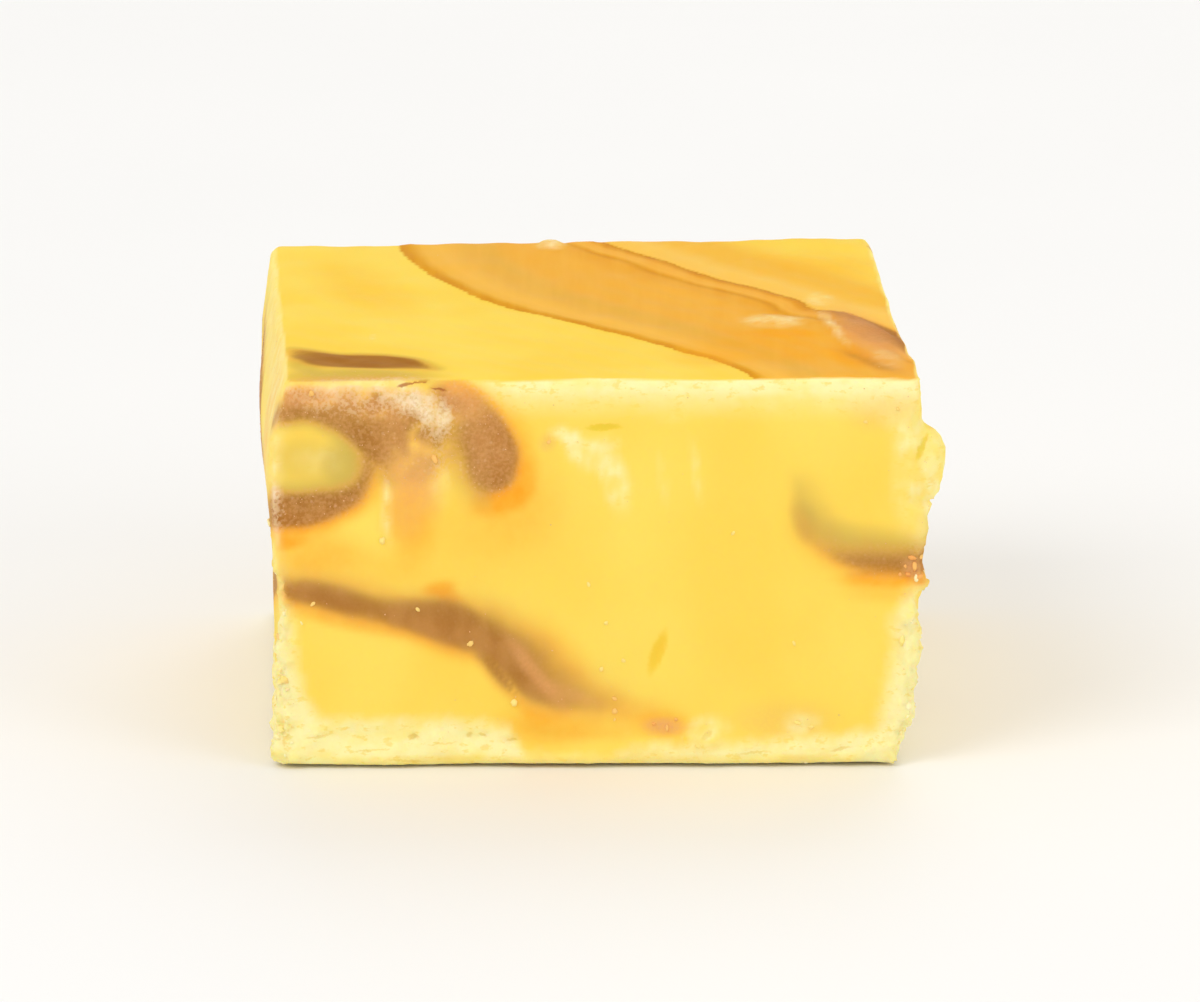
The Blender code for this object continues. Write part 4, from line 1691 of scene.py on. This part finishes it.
def fudge_colour(n, colours):
    """The fudge's colour from its amounts, with the fine variation that the mesh is too coarse for."""
    wide = n.noise(n.millimetres((1.0, 1.0, 1.6)), *WIDE_SHADES)
    small = n.noise(n.millimetres(), *SMALL_SHADES)
    deeper = n.mix(0.3, tuple(colours.yellow), DEEP_YELLOW)
    lighter = n.mix(0.45, tuple(colours.yellow), LIGHT_YELLOW)
    plain = n.mix(n.step(wide, 0.3, 0.7), deeper, lighter)
    plain = n.mix(n.amount("top"), plain, top_colour(n, plain, colours))
    amber_mix = n.math("MULTIPLY", n.amount("amber"), n.step(small, 0.25, 0.75, 0.86, 1.08), True)
    colour = n.mix(amber_mix, plain, tuple(colours.amber))
    colour = n.mix(n.math("MULTIPLY", n.amount("olive"), 0.8), colour, tuple(colours.olive))
    streaky = n.noise(n.millimetres((1.0, 1.0, 1.4)), *STREAKS)
    uneven = n.step(streaky, 0.25, 0.75, -0.04, 0.04)
    cocoa = n.step(n.math("ADD", n.amount("cocoa"), uneven), 0.02, 0.98)
    darker = n.mix(0.6, tuple(colours.cocoa), DEEP_COCOA)
    milkier = n.mix(0.6, tuple(colours.cocoa), MILKY_COCOA)
    brown = n.mix(n.step(streaky, 0.3, 0.7), darker, milkier)
    brown = n.mix(n.math("MULTIPLY", n.amount("top"), 0.6), brown, TOP_COCOA)
    brown = n.mix(n.step(cocoa, 0.95, 0.25), brown, THIN_COCOA)
    colour = n.mix(n.math("MULTIPLY", cocoa, 0.95), colour, brown)
    dusty = n.noise(n.millimetres(), *DUST)
    rose = n.math("MULTIPLY", n.amount("rose"), n.step(dusty, 0.3, 0.66, 0.72, 1.0))
    return n.mix(rose, colour, tuple(colours.rose))


# The grain of the cocoa: its noise, its light and dark tints, and its paler grains.
GRAIN_NOISE = (0.21, 2.0, 0.55)
GRAIN_LIGHT = linear(222, 170, 110)
GRAIN_SHADE = (0.8, 0.72, 0.62)
GRAIN_PITCH = 0.36
PALE_GRAIN = linear(242, 204, 160)


def speckled(n, colour):
    """The grainy brown: fine dark and light mottling, and a few paler grains."""
    fine = n.noise(n.millimetres(), *GRAIN_NOISE)
    grain = n.amount("grain")
    light = n.math("MULTIPLY", n.step(fine, 0.38, 0.68), grain)
    colour = n.mix(n.math("MULTIPLY", light, 0.34), colour, GRAIN_LIGHT)
    dark = n.math("MULTIPLY", n.step(fine, 0.5, 0.32), grain)
    colour = n.mix(n.math("MULTIPLY", dark, 0.16), colour, GRAIN_SHADE, "MULTIPLY")
    dots = n.put("ShaderNodeTexVoronoi", {"Vector": n.millimetres(), "Scale": 1 / GRAIN_PITCH})
    pick = n.put("ShaderNodeSeparateColor", {"Color": dots.outputs["Color"]}).outputs["Red"]
    dot = n.math("MULTIPLY", n.step(dots.outputs["Distance"], 0.36, 0.14), n.step(pick, 0.62, 0.7))
    amount = n.math("MULTIPLY", n.math("MULTIPLY", dot, grain), 0.2, True)
    return n.mix(amount, colour, PALE_GRAIN), fine


# The dry skin: its noises and its tints.
MOTTLES = (0.7, 4.0, 0.6)
SPOTS = (1.5, 2.0)
FLECKS = (0.42, 3.0, 0.6)
CREAMY_SKIN = linear(253, 232, 136)
SKIN_FLECK = linear(244, 214, 104)
POWDER = linear(249, 228, 190)


def dried_and_lit(n, colour, colours, fine):
    """The pale dry skin, and the powder, which is pinker and broken over cocoa.  The same pale paint also
    gives the painted highlight on the rounded upper edge, and on the bubble and the scrap of the top.
    """
    mottled = n.noise(n.millimetres(), *MOTTLES)
    grain = n.amount("grain")
    broken = n.math("MULTIPLY", n.step(fine, 0.6, 0.34), n.math("MULTIPLY", grain, 0.34))
    pale = n.math("MULTIPLY", n.amount("pale"), n.step(mottled, 0.3, 0.6, 0.84, 1.0), True)
    pale = n.math("SUBTRACT", pale, broken, True)
    spots = n.noise(n.millimetres((1.6, 1.6, 1.0)), *SPOTS)
    skin = n.mix(n.step(spots, 0.45, 0.7, 0.0, 0.6), tuple(colours.pale), CREAMY_SKIN)
    flecks = n.noise(n.millimetres((1.8, 1.8, 1.0)), *FLECKS)
    skin = n.mix(n.step(flecks, 0.56, 0.68, 0.0, 0.55), skin, SKIN_FLECK)
    skin = n.mix(n.step(grain, 0.05, 0.35), skin, POWDER)
    return n.mix(n.math("MULTIPLY", pale, 0.94), colour, skin)


# The marks' outlines are pushed about by a noise, and each kind has its strength and its tint.  The tints
# of the pits, the foot cracks, the nick and the two dark strokes are painted shade in their hollows; the
# chips are tinted reddish brown.
MARK_NOISE = {"Scale": 3.2, "Detail": 2.0}
MARK_PUSH = 0.3
MARK_SHADES_AND_TINTS = (
    (PITS, 0.4, linear(226, 196, 72)),
    (FOOT_CRACKS, 0.38, linear(236, 204, 92)),
    ((NICK,), 0.62, linear(243, 200, 44)),
    (DARK_STROKES, 0.62, linear(228, 200, 44)),
    (CHIPS, 0.8, linear(184, 110, 58)),
)


def marked(n, colour):
    """The small marks on the front face: pits, cracks, chips, the nick and two dark strokes, with painted
    shade in the pits, the cracks, the nick and the strokes.
    """
    places = n.millimetres()
    wander = n.put("ShaderNodeTexNoise", {"Vector": places, **MARK_NOISE}).outputs["Color"]
    centred = n.put("ShaderNodeVectorMath", {0: wander, 1: (0.5, 0.5, 0.5)}, operation="SUBTRACT")
    push = n.put("ShaderNodeVectorMath", {0: centred.outputs[0], "Scale": MARK_PUSH}, operation="SCALE")
    moved = n.put("ShaderNodeVectorMath", {0: places, 1: push.outputs[0]}).outputs[0]
    front = n.amount("front")
    for marks, strength, tint in MARK_SHADES_AND_TINTS:
        amount = n.math("MULTIPLY", n.ovals(moved, marks), n.math("MULTIPLY", front, strength))
        colour = n.mix(amount, colour, tint)
    return colour


# The white surround's light that glances off the level top, taken off the top's colour.
TOP_GLANCE = (0.055, 0.075, 0.050)

# Finish of the fudge: roughness of the cut sides and of the top, what dry skin adds to it, the fine
# bumps and how light spreads inside.
SIDE_ROUGHNESS = 0.55
TOP_ROUGHNESS = 0.42
DRY_ROUGHNESS = 0.25
FUDGE_SHINE = 0.02
PORES = (0.17, 3.0, 0.6)
SCRATCH_STRETCH = (1.0, 1.0, 14.0)
SCRATCHES = (0.22, 2.0)
SCRATCH_STRENGTH = 0.1
BUMP_HEIGHT = 0.035 * MM
BUMP_STRENGTH = 0.75
INNER_LIGHT = 0.4
INNER_LIGHT_COLOURS = (1.0, 0.5, 0.14)
INNER_LIGHT_REACH = 1.1 * MM


def marbled_material(colours):
    """The marbled fudge, with its dry skin, its grain and its small marks."""
    material, n, shader = new_material("marbled_fudge")
    colour, fine = speckled(n, fudge_colour(n, colours))
    colour = marked(n, dried_and_lit(n, colour, colours, fine))
    colour = n.mix(n.amount("top"), colour, TOP_GLANCE, "SUBTRACT")
    n.feed(shader.inputs["Base Color"], colour)
    rough = n.step(n.amount("top"), 0.0, 1.0, SIDE_ROUGHNESS, TOP_ROUGHNESS)
    rough = n.math("ADD", rough, n.math("MULTIPLY", n.amount("pale"), DRY_ROUGHNESS))
    n.feed(shader.inputs["Roughness"], rough)
    pores = n.noise(n.millimetres(), *PORES)
    height = n.math("MULTIPLY", pores, n.step(n.amount("pale"), 0.0, 1.0, 0.3, 1.0))
    height = n.math("ADD", height, n.math("MULTIPLY", fine, n.amount("grain")))
    scratches = n.noise(n.millimetres(SCRATCH_STRETCH), *SCRATCHES)
    height = n.math("ADD", height, n.math("MULTIPLY", scratches, SCRATCH_STRENGTH))
    bumps = {"Height": height, "Distance": BUMP_HEIGHT, "Strength": BUMP_STRENGTH}
    n.feed(shader.inputs["Normal"], n.put("ShaderNodeBump", bumps).outputs["Normal"])
    shader.inputs["Specular IOR Level"].default_value = FUDGE_SHINE
    shader.inputs["Subsurface Weight"].default_value = INNER_LIGHT
    shader.inputs["Subsurface Radius"].default_value = INNER_LIGHT_COLOURS
    shader.inputs["Subsurface Scale"].default_value = INNER_LIGHT_REACH
    return material


# Tints of the small pieces, and of the table.
CRUMB_YELLOW = linear(254, 232, 138)
CRUMB_CREAM = linear(254, 244, 190)
CRUMB_COCOA = linear(244, 186, 110)
SPECK_CREAM = linear(254, 234, 140)
SPECK_ORANGE = linear(246, 172, 92)
SUGAR_BROWN = linear(222, 170, 116)
SUGAR_CREAM = linear(244, 206, 150)
TABLE_GREY = linear(243, 242, 240)
TABLE_WHITE = linear(247, 246, 244)


def crumb_material():
    """Loose crumbs: dry and pale, some still yellow or tinged with cocoa."""
    material, n, shader = new_material("fudge_crumb")
    tint = n.noise(n.millimetres(), 1.7, 1.0)
    colour = n.mix(n.step(tint, 0.35, 0.55), CRUMB_YELLOW, CRUMB_CREAM)
    tinged = n.noise(n.millimetres(), 2.6, 1.0)
    colour = n.mix(n.step(tinged, 0.55, 0.66, 0.0, 0.55), colour, CRUMB_COCOA)
    n.feed(shader.inputs["Base Color"], colour)
    plain_finish(shader, roughness=0.8, shine=0.1)
    return material


def speck_material():
    """Clinging specks: cream to orange, as their warmth says."""
    material, n, shader = new_material("fudge_speck")
    n.feed(shader.inputs["Base Color"], n.mix(n.amount("warmth"), SPECK_CREAM, SPECK_ORANGE))
    plain_finish(shader, roughness=0.8, shine=0.1)
    return material


def sugar_material():
    """Sugar grains: brownish to cream, and a little shiny."""
    material, n, shader = new_material("sugar_grain")
    tint = n.noise(n.millimetres(), 0.8, 1.0)
    n.feed(shader.inputs["Base Color"], n.mix(tint, SUGAR_BROWN, SUGAR_CREAM))
    plain_finish(shader, roughness=0.35, shine=0.3)
    return material


def table_material():
    """The plain pale table."""
    material, n, shader = new_material("pale_table")
    cloudy = n.noise(n.millimetres(), 60.0, 2.0)
    n.feed(shader.inputs["Base Color"], n.mix(cloudy, TABLE_GREY, TABLE_WHITE))
    plain_finish(shader, roughness=0.6, shine=0.25)
    return material


# Crumbs, specks and sugar grains, set out by Geometry Nodes.

# Each shape of lump takes its noise from another place, and the noise has this size and detail.
VARIANT_SHIFT = (5.3, 2.1, 0.0)
LUMP_NOISE = {"Scale": 1.3, "Detail": 2.0}

# Sizes are drawn evenly and raised to this power, so that most lumps are small.
SMALL_POWER = 2.4

# Least and most stretch of a lump: along, aside and up.
LEAST_STRETCH = (0.75, 0.6, 0.6)
MOST_STRETCH = (1.35, 1.0, 1.0)
SPIN_SEED = 21
STRETCH_SEED = 9

# Size of the smallest crumb and sugar grain, as a share of the largest.
SMALLEST_CRUMB = 0.3
SMALLEST_GRAIN = 0.45

# A speck is laid only where the surface looks this much to the front.
SPECK_FACING = -0.6


class Grower(Nodes):
    """Builds a Geometry Nodes tree that sets out small lumps."""

    def __init__(self, name):
        """Makes the tree, with a mesh as its input and its output."""
        super().__init__(bpy.data.node_groups.new(name, "GeometryNodeTree"))
        self.sockets = {}
        self.socket("Geometry", "NodeSocketGeometry")
        self.tree.interface.new_socket("Geometry", in_out="OUTPUT", socket_type="NodeSocketGeometry")

    def socket(self, name, kind):
        """Adds a named input to the tree."""
        made = self.tree.interface.new_socket(name, in_out="INPUT", socket_type=kind)
        self.sockets[name] = made.identifier


def lump_variant(g, detail, uneven, seed):
    """One rough lump of radius 1, its points moved by noise."""
    ball = g.put("GeometryNodeMeshIcoSphere", {"Radius": 1.0, "Subdivisions": detail})
    position = g.put("GeometryNodeInputPosition").outputs[0]
    shift = tuple(seed * part for part in VARIANT_SHIFT)
    moved = g.put("ShaderNodeVectorMath", {0: position, 1: shift})
    rough = g.put("ShaderNodeTexNoise", {"Vector": moved.outputs[0], **LUMP_NOISE})
    centred = g.put("ShaderNodeVectorMath", {0: rough.outputs["Color"], 1: (0.5, 0.5, 0.5)})
    centred.operation = "SUBTRACT"
    push = g.put("ShaderNodeVectorMath", {0: centred.outputs[0], "Scale": uneven}, operation="SCALE")
    offset = {"Geometry": ball.outputs["Mesh"], "Offset": push.outputs["Vector"]}
    return g.put("GeometryNodeSetPosition", offset).outputs["Geometry"]


def scattered_points(g, given, amount):
    """Random points on the surface, as dense as the named amount says, with a size for each."""
    named = g.put("GeometryNodeInputNamedAttribute", {"Name": amount}, data_type="FLOAT")
    shares = {0: named.outputs["Attribute"], 1: given["Density"]}
    density = g.put("ShaderNodeMath", shares, operation="MULTIPLY")
    points = g.put(
        "GeometryNodeDistributePointsOnFaces",
        {"Mesh": given["Geometry"], "Density": density.outputs[0], "Seed": given["Seed"]},
        distribute_method="RANDOM",
    )
    draw = g.put("FunctionNodeRandomValue", {2: 0.0, 3: 1.0, "Seed": given["Seed"]}, data_type="FLOAT")
    small = g.put("ShaderNodeMath", {0: draw.outputs[1], 1: SMALL_POWER}, operation="POWER")
    size = g.put(
        "ShaderNodeMapRange",
        {"Value": small.outputs[0], "To Min": given["Smallest"], "To Max": given["Largest"]},
    )
    return points.outputs["Points"], points.outputs["Rotation"], size.outputs["Result"]


def laid_points(g, given):
    """The points of the given mesh, each with its own outward direction and radius."""
    points = g.put("GeometryNodeMeshToPoints", {"Mesh": given["Geometry"]})
    outward = g.put("GeometryNodeInputNamedAttribute", {"Name": "outward"}, data_type="FLOAT_VECTOR")
    facing = g.put("FunctionNodeAlignRotationToVector", {"Vector": outward.outputs["Attribute"]}, axis="Z")
    radius = g.put("GeometryNodeInputNamedAttribute", {"Name": "size"}, data_type="FLOAT")
    return points.outputs["Points"], facing.outputs[0], radius.outputs["Attribute"]


def lump_tree(name, amount, detail, uneven, variants, flatness):
    """Lumps of a few shapes, flattened against the surface.  Without an amount to scatter them by,
    they stand at the points of the mesh itself."""
    g = Grower(name)
    for label, kind in (
        ("Density", "NodeSocketFloat"),
        ("Smallest", "NodeSocketFloat"),
        ("Largest", "NodeSocketFloat"),
        ("Seed", "NodeSocketInt"),
        ("Material", "NodeSocketMaterial"),
    ):
        g.socket(label, kind)
    given = g.put("NodeGroupInput").outputs
    points, facing, size = scattered_points(g, given, amount) if amount else laid_points(g, given)
    shapes = g.put("GeometryNodeGeometryToInstance")
    for seed in range(variants):
        g.tree.links.new(lump_variant(g, detail, uneven, seed), shapes.inputs[0])
    spin = g.put("FunctionNodeRandomValue", {2: 0.0, 3: math.tau, "Seed": SPIN_SEED}, data_type="FLOAT")
    turn = g.put("FunctionNodeAxisAngleToRotation", {"Axis": (0.0, 0.0, 1.0), "Angle": spin.outputs[1]})
    facing = g.put(
        "FunctionNodeRotateRotation",
        {"Rotation": facing, "Rotate By": turn.outputs[0]},
        rotation_space="LOCAL",
    )
    stretch = g.put("FunctionNodeRandomValue", {"Seed": STRETCH_SEED}, data_type="FLOAT_VECTOR")
    for label, (along, aside, up) in (("Min", LEAST_STRETCH), ("Max", MOST_STRETCH)):
        stretch.inputs[label].default_value = (along, aside, up * flatness)
    scale = g.put("ShaderNodeVectorMath", {0: stretch.outputs[0], "Scale": size}, operation="SCALE")
    placed = g.put(
        "GeometryNodeInstanceOnPoints",
        {
            "Points": points,
            "Instance": shapes.outputs[0],
            "Pick Instance": True,
            "Rotation": facing.outputs[0],
            "Scale": scale.outputs["Vector"],
        },
    )
    real = g.put("GeometryNodeRealizeInstances", {"Geometry": placed.outputs["Instances"]})
    last = g.put("GeometryNodeSetMaterial", {"Geometry": real.outputs[0], "Material": given["Material"]})
    end = g.put("NodeGroupOutput")
    g.tree.links.new(last.outputs[0], end.inputs[0])
    return g


def grown_piece(name, mesh, g, values):
    """Runs the tree on a mesh and keeps only the lumps, as a plain mesh above the table."""
    host = bpy.data.objects.new(name + "_host", mesh)
    bpy.context.scene.collection.objects.link(host)
    modifier = host.modifiers.new("lumps", "NODES")
    modifier.node_group = g.tree
    for label, value in values.items():
        modifier[g.sockets[label]] = value
    graph = bpy.context.evaluated_depsgraph_get()
    made = bpy.data.meshes.new_from_object(host.evaluated_get(graph))
    bpy.data.objects.remove(host, do_unlink=True)
    made.name = name
    flat = np.empty(len(made.vertices) * 3, dtype=np.float32)
    made.vertices.foreach_get("co", flat)
    places = flat.reshape(-1, 3)
    places[:, 2] = np.maximum(places[:, 2], 0.0)
    made.vertices.foreach_set("co", places.ravel())
    made.update()
    made.shade_smooth()
    piece = bpy.data.objects.new(name, made)
    bpy.context.scene.collection.objects.link(piece)
    return piece


def speck_places(block):
    """A mesh of loose points on the front face, one for each speck, with its direction and size."""
    mesh = block.data
    flat = np.empty(len(mesh.vertices) * 3, dtype=np.float32)
    mesh.vertices.foreach_get("co", flat)
    places = flat.reshape(-1, 3) / MM
    mesh.vertex_normals.foreach_get("vector", flat)
    outward = flat.reshape(-1, 3)
    front = np.flatnonzero(outward[:, 1] < SPECK_FACING)
    rows = []
    for across, up, _, _ in SPECKS:
        gaps = np.hypot(places[front, 0] - across, places[front, 2] - up)
        rows.append(front[np.argmin(gaps)])
    host = bpy.data.meshes.new("speck_places")
    host.from_pydata((places[rows] * MM).tolist(), [], [])
    directions = host.attributes.new("outward", "FLOAT_VECTOR", "POINT")
    directions.data.foreach_set("vector", outward[rows].ravel())
    sizes, warmths = np.array([speck[2:] for speck in SPECKS], dtype=np.float32).T
    write_amounts(host, {"size": sizes * MM, "warmth": warmths})
    return host


def hand_over(piece):
    """Says which body the piece rides on."""
    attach(piece, BODY)


def need_block():
    """The marbled block, which the small pieces lie on."""
    block = bpy.data.objects.get("marbled_block")
    if block is None:
        raise RuntimeError("make the marbled block first")
    return block


# Operators.


class FUDGE_OT_make_block(Operator):
    """Makes the marbled block, with its relief and marbling"""

    bl_idname = "fudge.make_block"
    bl_label = "Marbled block"
    bl_options = {"REGISTER", "UNDO"}

    def execute(self, context):
        settings = context.scene.fudge_block
        mesh = fine_copy(settings.spacing)
        surface = Surface(mesh)
        shape_block(surface)
        amounts, skin, ragged, lines = make_amounts(surface)
        add_relief(surface, amounts, skin, ragged, lines, settings)
        surface.write_places()
        write_amounts(mesh, amounts)
        mesh.name = "marbled_block"
        mesh.materials.clear()
        mesh.materials.append(marbled_material(context.scene.fudge_colours))
        mesh.shade_smooth()
        block = bpy.data.objects.new("marbled_block", mesh)
        context.scene.collection.objects.link(block)
        hand_over(block)
        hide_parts(CAD_NODE)
        return {"FINISHED"}


class FUDGE_OT_scatter_crumbs(Operator):
    """Scatters the crumbs that cling to the foot and the ragged edges"""

    bl_idname = "fudge.scatter_crumbs"
    bl_label = "Clinging crumbs"
    bl_options = {"REGISTER", "UNDO"}

    def execute(self, context):
        settings = context.scene.fudge_scatter
        block = need_block()
        g = lump_tree("clinging crumbs", "crumbly", detail=3, uneven=1.5, variants=4, flatness=0.7)
        values = {
            "Density": settings.crumb_density,
            "Smallest": SMALLEST_CRUMB * settings.crumb_size,
            "Largest": settings.crumb_size,
            "Seed": settings.seed,
            "Material": crumb_material(),
        }
        hand_over(grown_piece("clinging_crumbs", block.data, g, values))
        return {"FINISHED"}


class FUDGE_OT_lay_specks(Operator):
    """Lays the pale specks that cling to the front face"""

    bl_idname = "fudge.lay_specks"
    bl_label = "Pale specks"
    bl_options = {"REGISTER", "UNDO"}

    def execute(self, context):
        settings = context.scene.fudge_scatter
        g = lump_tree("pale specks", None, detail=3, uneven=1.2, variants=3, flatness=0.6)
        values = {"Seed": settings.seed, "Material": speck_material()}
        hand_over(grown_piece("pale_specks", speck_places(need_block()), g, values))
        return {"FINISHED"}


class FUDGE_OT_scatter_sugar(Operator):
    """Scatters the sugar grains that show on the cut faces"""

    bl_idname = "fudge.scatter_sugar"
    bl_label = "Sugar grains"
    bl_options = {"REGISTER", "UNDO"}

    def execute(self, context):
        settings = context.scene.fudge_scatter
        block = need_block()
        g = lump_tree("sugar grains", "sugary", detail=1, uneven=0.9, variants=3, flatness=0.9)
        values = {
            "Density": settings.grain_density,
            "Smallest": SMALLEST_GRAIN * settings.grain_size,
            "Largest": settings.grain_size,
            "Seed": settings.seed + 1,
            "Material": sugar_material(),
        }
        hand_over(grown_piece("sugar_grains", block.data, g, values))
        return {"FINISHED"}


# What the camera and the lights look at, in metres.
STAGE_MIDDLE = Vector((0.0003, 0.0, 0.0116))

# The lights: name, place in metres, diameter, and which setting gives the power.
LIGHTS = (
    ("key", (-0.42, -0.40, 0.55), 0.45, "key_power"),
    ("fill", (0.52, -0.38, 0.30), 0.40, "fill_power"),
    ("rear", (0.10, 0.50, 0.50), 0.45, "fill_power"),
)
SURROUND_WHITE = (1.0, 0.995, 0.985, 1.0)
SENSOR_WIDTH = 36.0
NEAREST_SEEN = 0.01

# The table top: radius in metres, number of sides, and how far it lies under the foot.
TABLE_RADIUS = 2.5
TABLE_SIDES = 96
TABLE_DROP = 0.02 * MM


class FUDGE_OT_make_stage(Operator):
    """Makes the table, the soft light and the camera"""

    bl_idname = "fudge.make_stage"
    bl_label = "Table, light and camera"
    bl_options = {"REGISTER", "UNDO"}

    def execute(self, context):
        scene, settings = context.scene, context.scene.fudge_stage
        table = make_table()
        make_world(scene, settings.surround)
        for name, place, size, power in LIGHTS:
            add_light(name, place, size, getattr(settings, power))
        add_camera(scene, settings)
        scene.view_settings.view_transform = "Standard"
        return {"FINISHED"}


def make_table():
    """A round flat table top, just under the foot."""
    mesh = bpy.data.meshes.new("pale_table")
    work = bmesh.new()
    bmesh.ops.create_circle(work, cap_ends=True, segments=TABLE_SIDES, radius=TABLE_RADIUS)
    work.to_mesh(mesh)
    work.free()
    mesh.materials.append(table_material())
    table = bpy.data.objects.new("pale_table", mesh)
    table.location.z = -TABLE_DROP
    bpy.context.scene.collection.objects.link(table)
    return table


def make_world(scene, strength):
    """The even white light from all round."""
    world = bpy.data.worlds.new("soft_white")
    world.use_nodes = True
    background = world.node_tree.nodes["Background"]
    background.inputs["Color"].default_value = SURROUND_WHITE
    background.inputs["Strength"].default_value = strength
    scene.world = world


def add_light(name, place, size, power):
    """A large soft round light, turned to the piece."""
    data = bpy.data.lights.new(name, "AREA")
    data.shape = "DISK"
    data.size = size
    data.energy = power
    light = bpy.data.objects.new(name, data)
    light.location = place
    light.rotation_euler = (STAGE_MIDDLE - Vector(place)).to_track_quat("-Z", "Y").to_euler()
    bpy.context.scene.collection.objects.link(light)


def add_camera(scene, settings):
    """The camera, in front of the piece and a little above it."""
    data = bpy.data.cameras.new("camera")
    data.lens = settings.lens
    data.sensor_width = SENSOR_WIDTH
    data.clip_start = NEAREST_SEEN
    camera = bpy.data.objects.new("camera", data)
    back = math.cos(settings.elevation) * settings.distance
    up = math.sin(settings.elevation) * settings.distance
    camera.location = STAGE_MIDDLE + Vector((0.0, -back, up))
    camera.rotation_euler = (math.pi / 2 - settings.elevation, 0.0, 0.0)
    scene.collection.objects.link(camera)
    scene.camera = camera


class FUDGE_PT_panel(Panel):
    """Lists the pieces with their sizes and colours"""

    bl_label = "Marbled fudge"
    bl_idname = "FUDGE_PT_panel"
    bl_space_type = "VIEW_3D"
    bl_region_type = "UI"
    bl_category = "Fudge"

    def draw(self, context):
        scene = context.scene
        groups = (
            (FUDGE_OT_make_block, (scene.fudge_block, scene.fudge_colours)),
            (FUDGE_OT_scatter_crumbs, (scene.fudge_scatter,)),
            (FUDGE_OT_lay_specks, ()),
            (FUDGE_OT_scatter_sugar, ()),
            (FUDGE_OT_make_stage, (scene.fudge_stage,)),
        )
        for operator, settings_groups in groups:
            box = self.layout.box()
            box.operator(operator.bl_idname)
            for settings in settings_groups:
                for name in settings.__annotations__:
                    box.prop(settings, name)


CLASSES = (
    FudgeBlockSettings,
    FudgeColourSettings,
    FudgeScatterSettings,
    FudgeStageSettings,
    FUDGE_OT_make_block,
    FUDGE_OT_scatter_crumbs,
    FUDGE_OT_lay_specks,
    FUDGE_OT_scatter_sugar,
    FUDGE_OT_make_stage,
    FUDGE_PT_panel,
)
SETTINGS = {
    "fudge_block": FudgeBlockSettings,
    "fudge_colours": FudgeColourSettings,
    "fudge_scatter": FudgeScatterSettings,
    "fudge_stage": FudgeStageSettings,
}


def register():
    """Adds the classes and the settings to Blender."""
    for cls in CLASSES:
        bpy.utils.register_class(cls)
    for name, group in SETTINGS.items():
        setattr(bpy.types.Scene, name, PointerProperty(type=group))


def unregister():
    """Takes the settings and the classes out again."""
    for name in SETTINGS:
        delattr(bpy.types.Scene, name)
    for cls in reversed(CLASSES):
        bpy.utils.unregister_class(cls)


def main():
    """Makes the pieces and the stage in order."""
    register()
    bpy.ops.fudge.make_block()
    bpy.ops.fudge.scatter_crumbs()
    bpy.ops.fudge.lay_specks()
    bpy.ops.fudge.scatter_sugar()
    bpy.ops.fudge.make_stage()


if __name__ == "__main__":
    main()
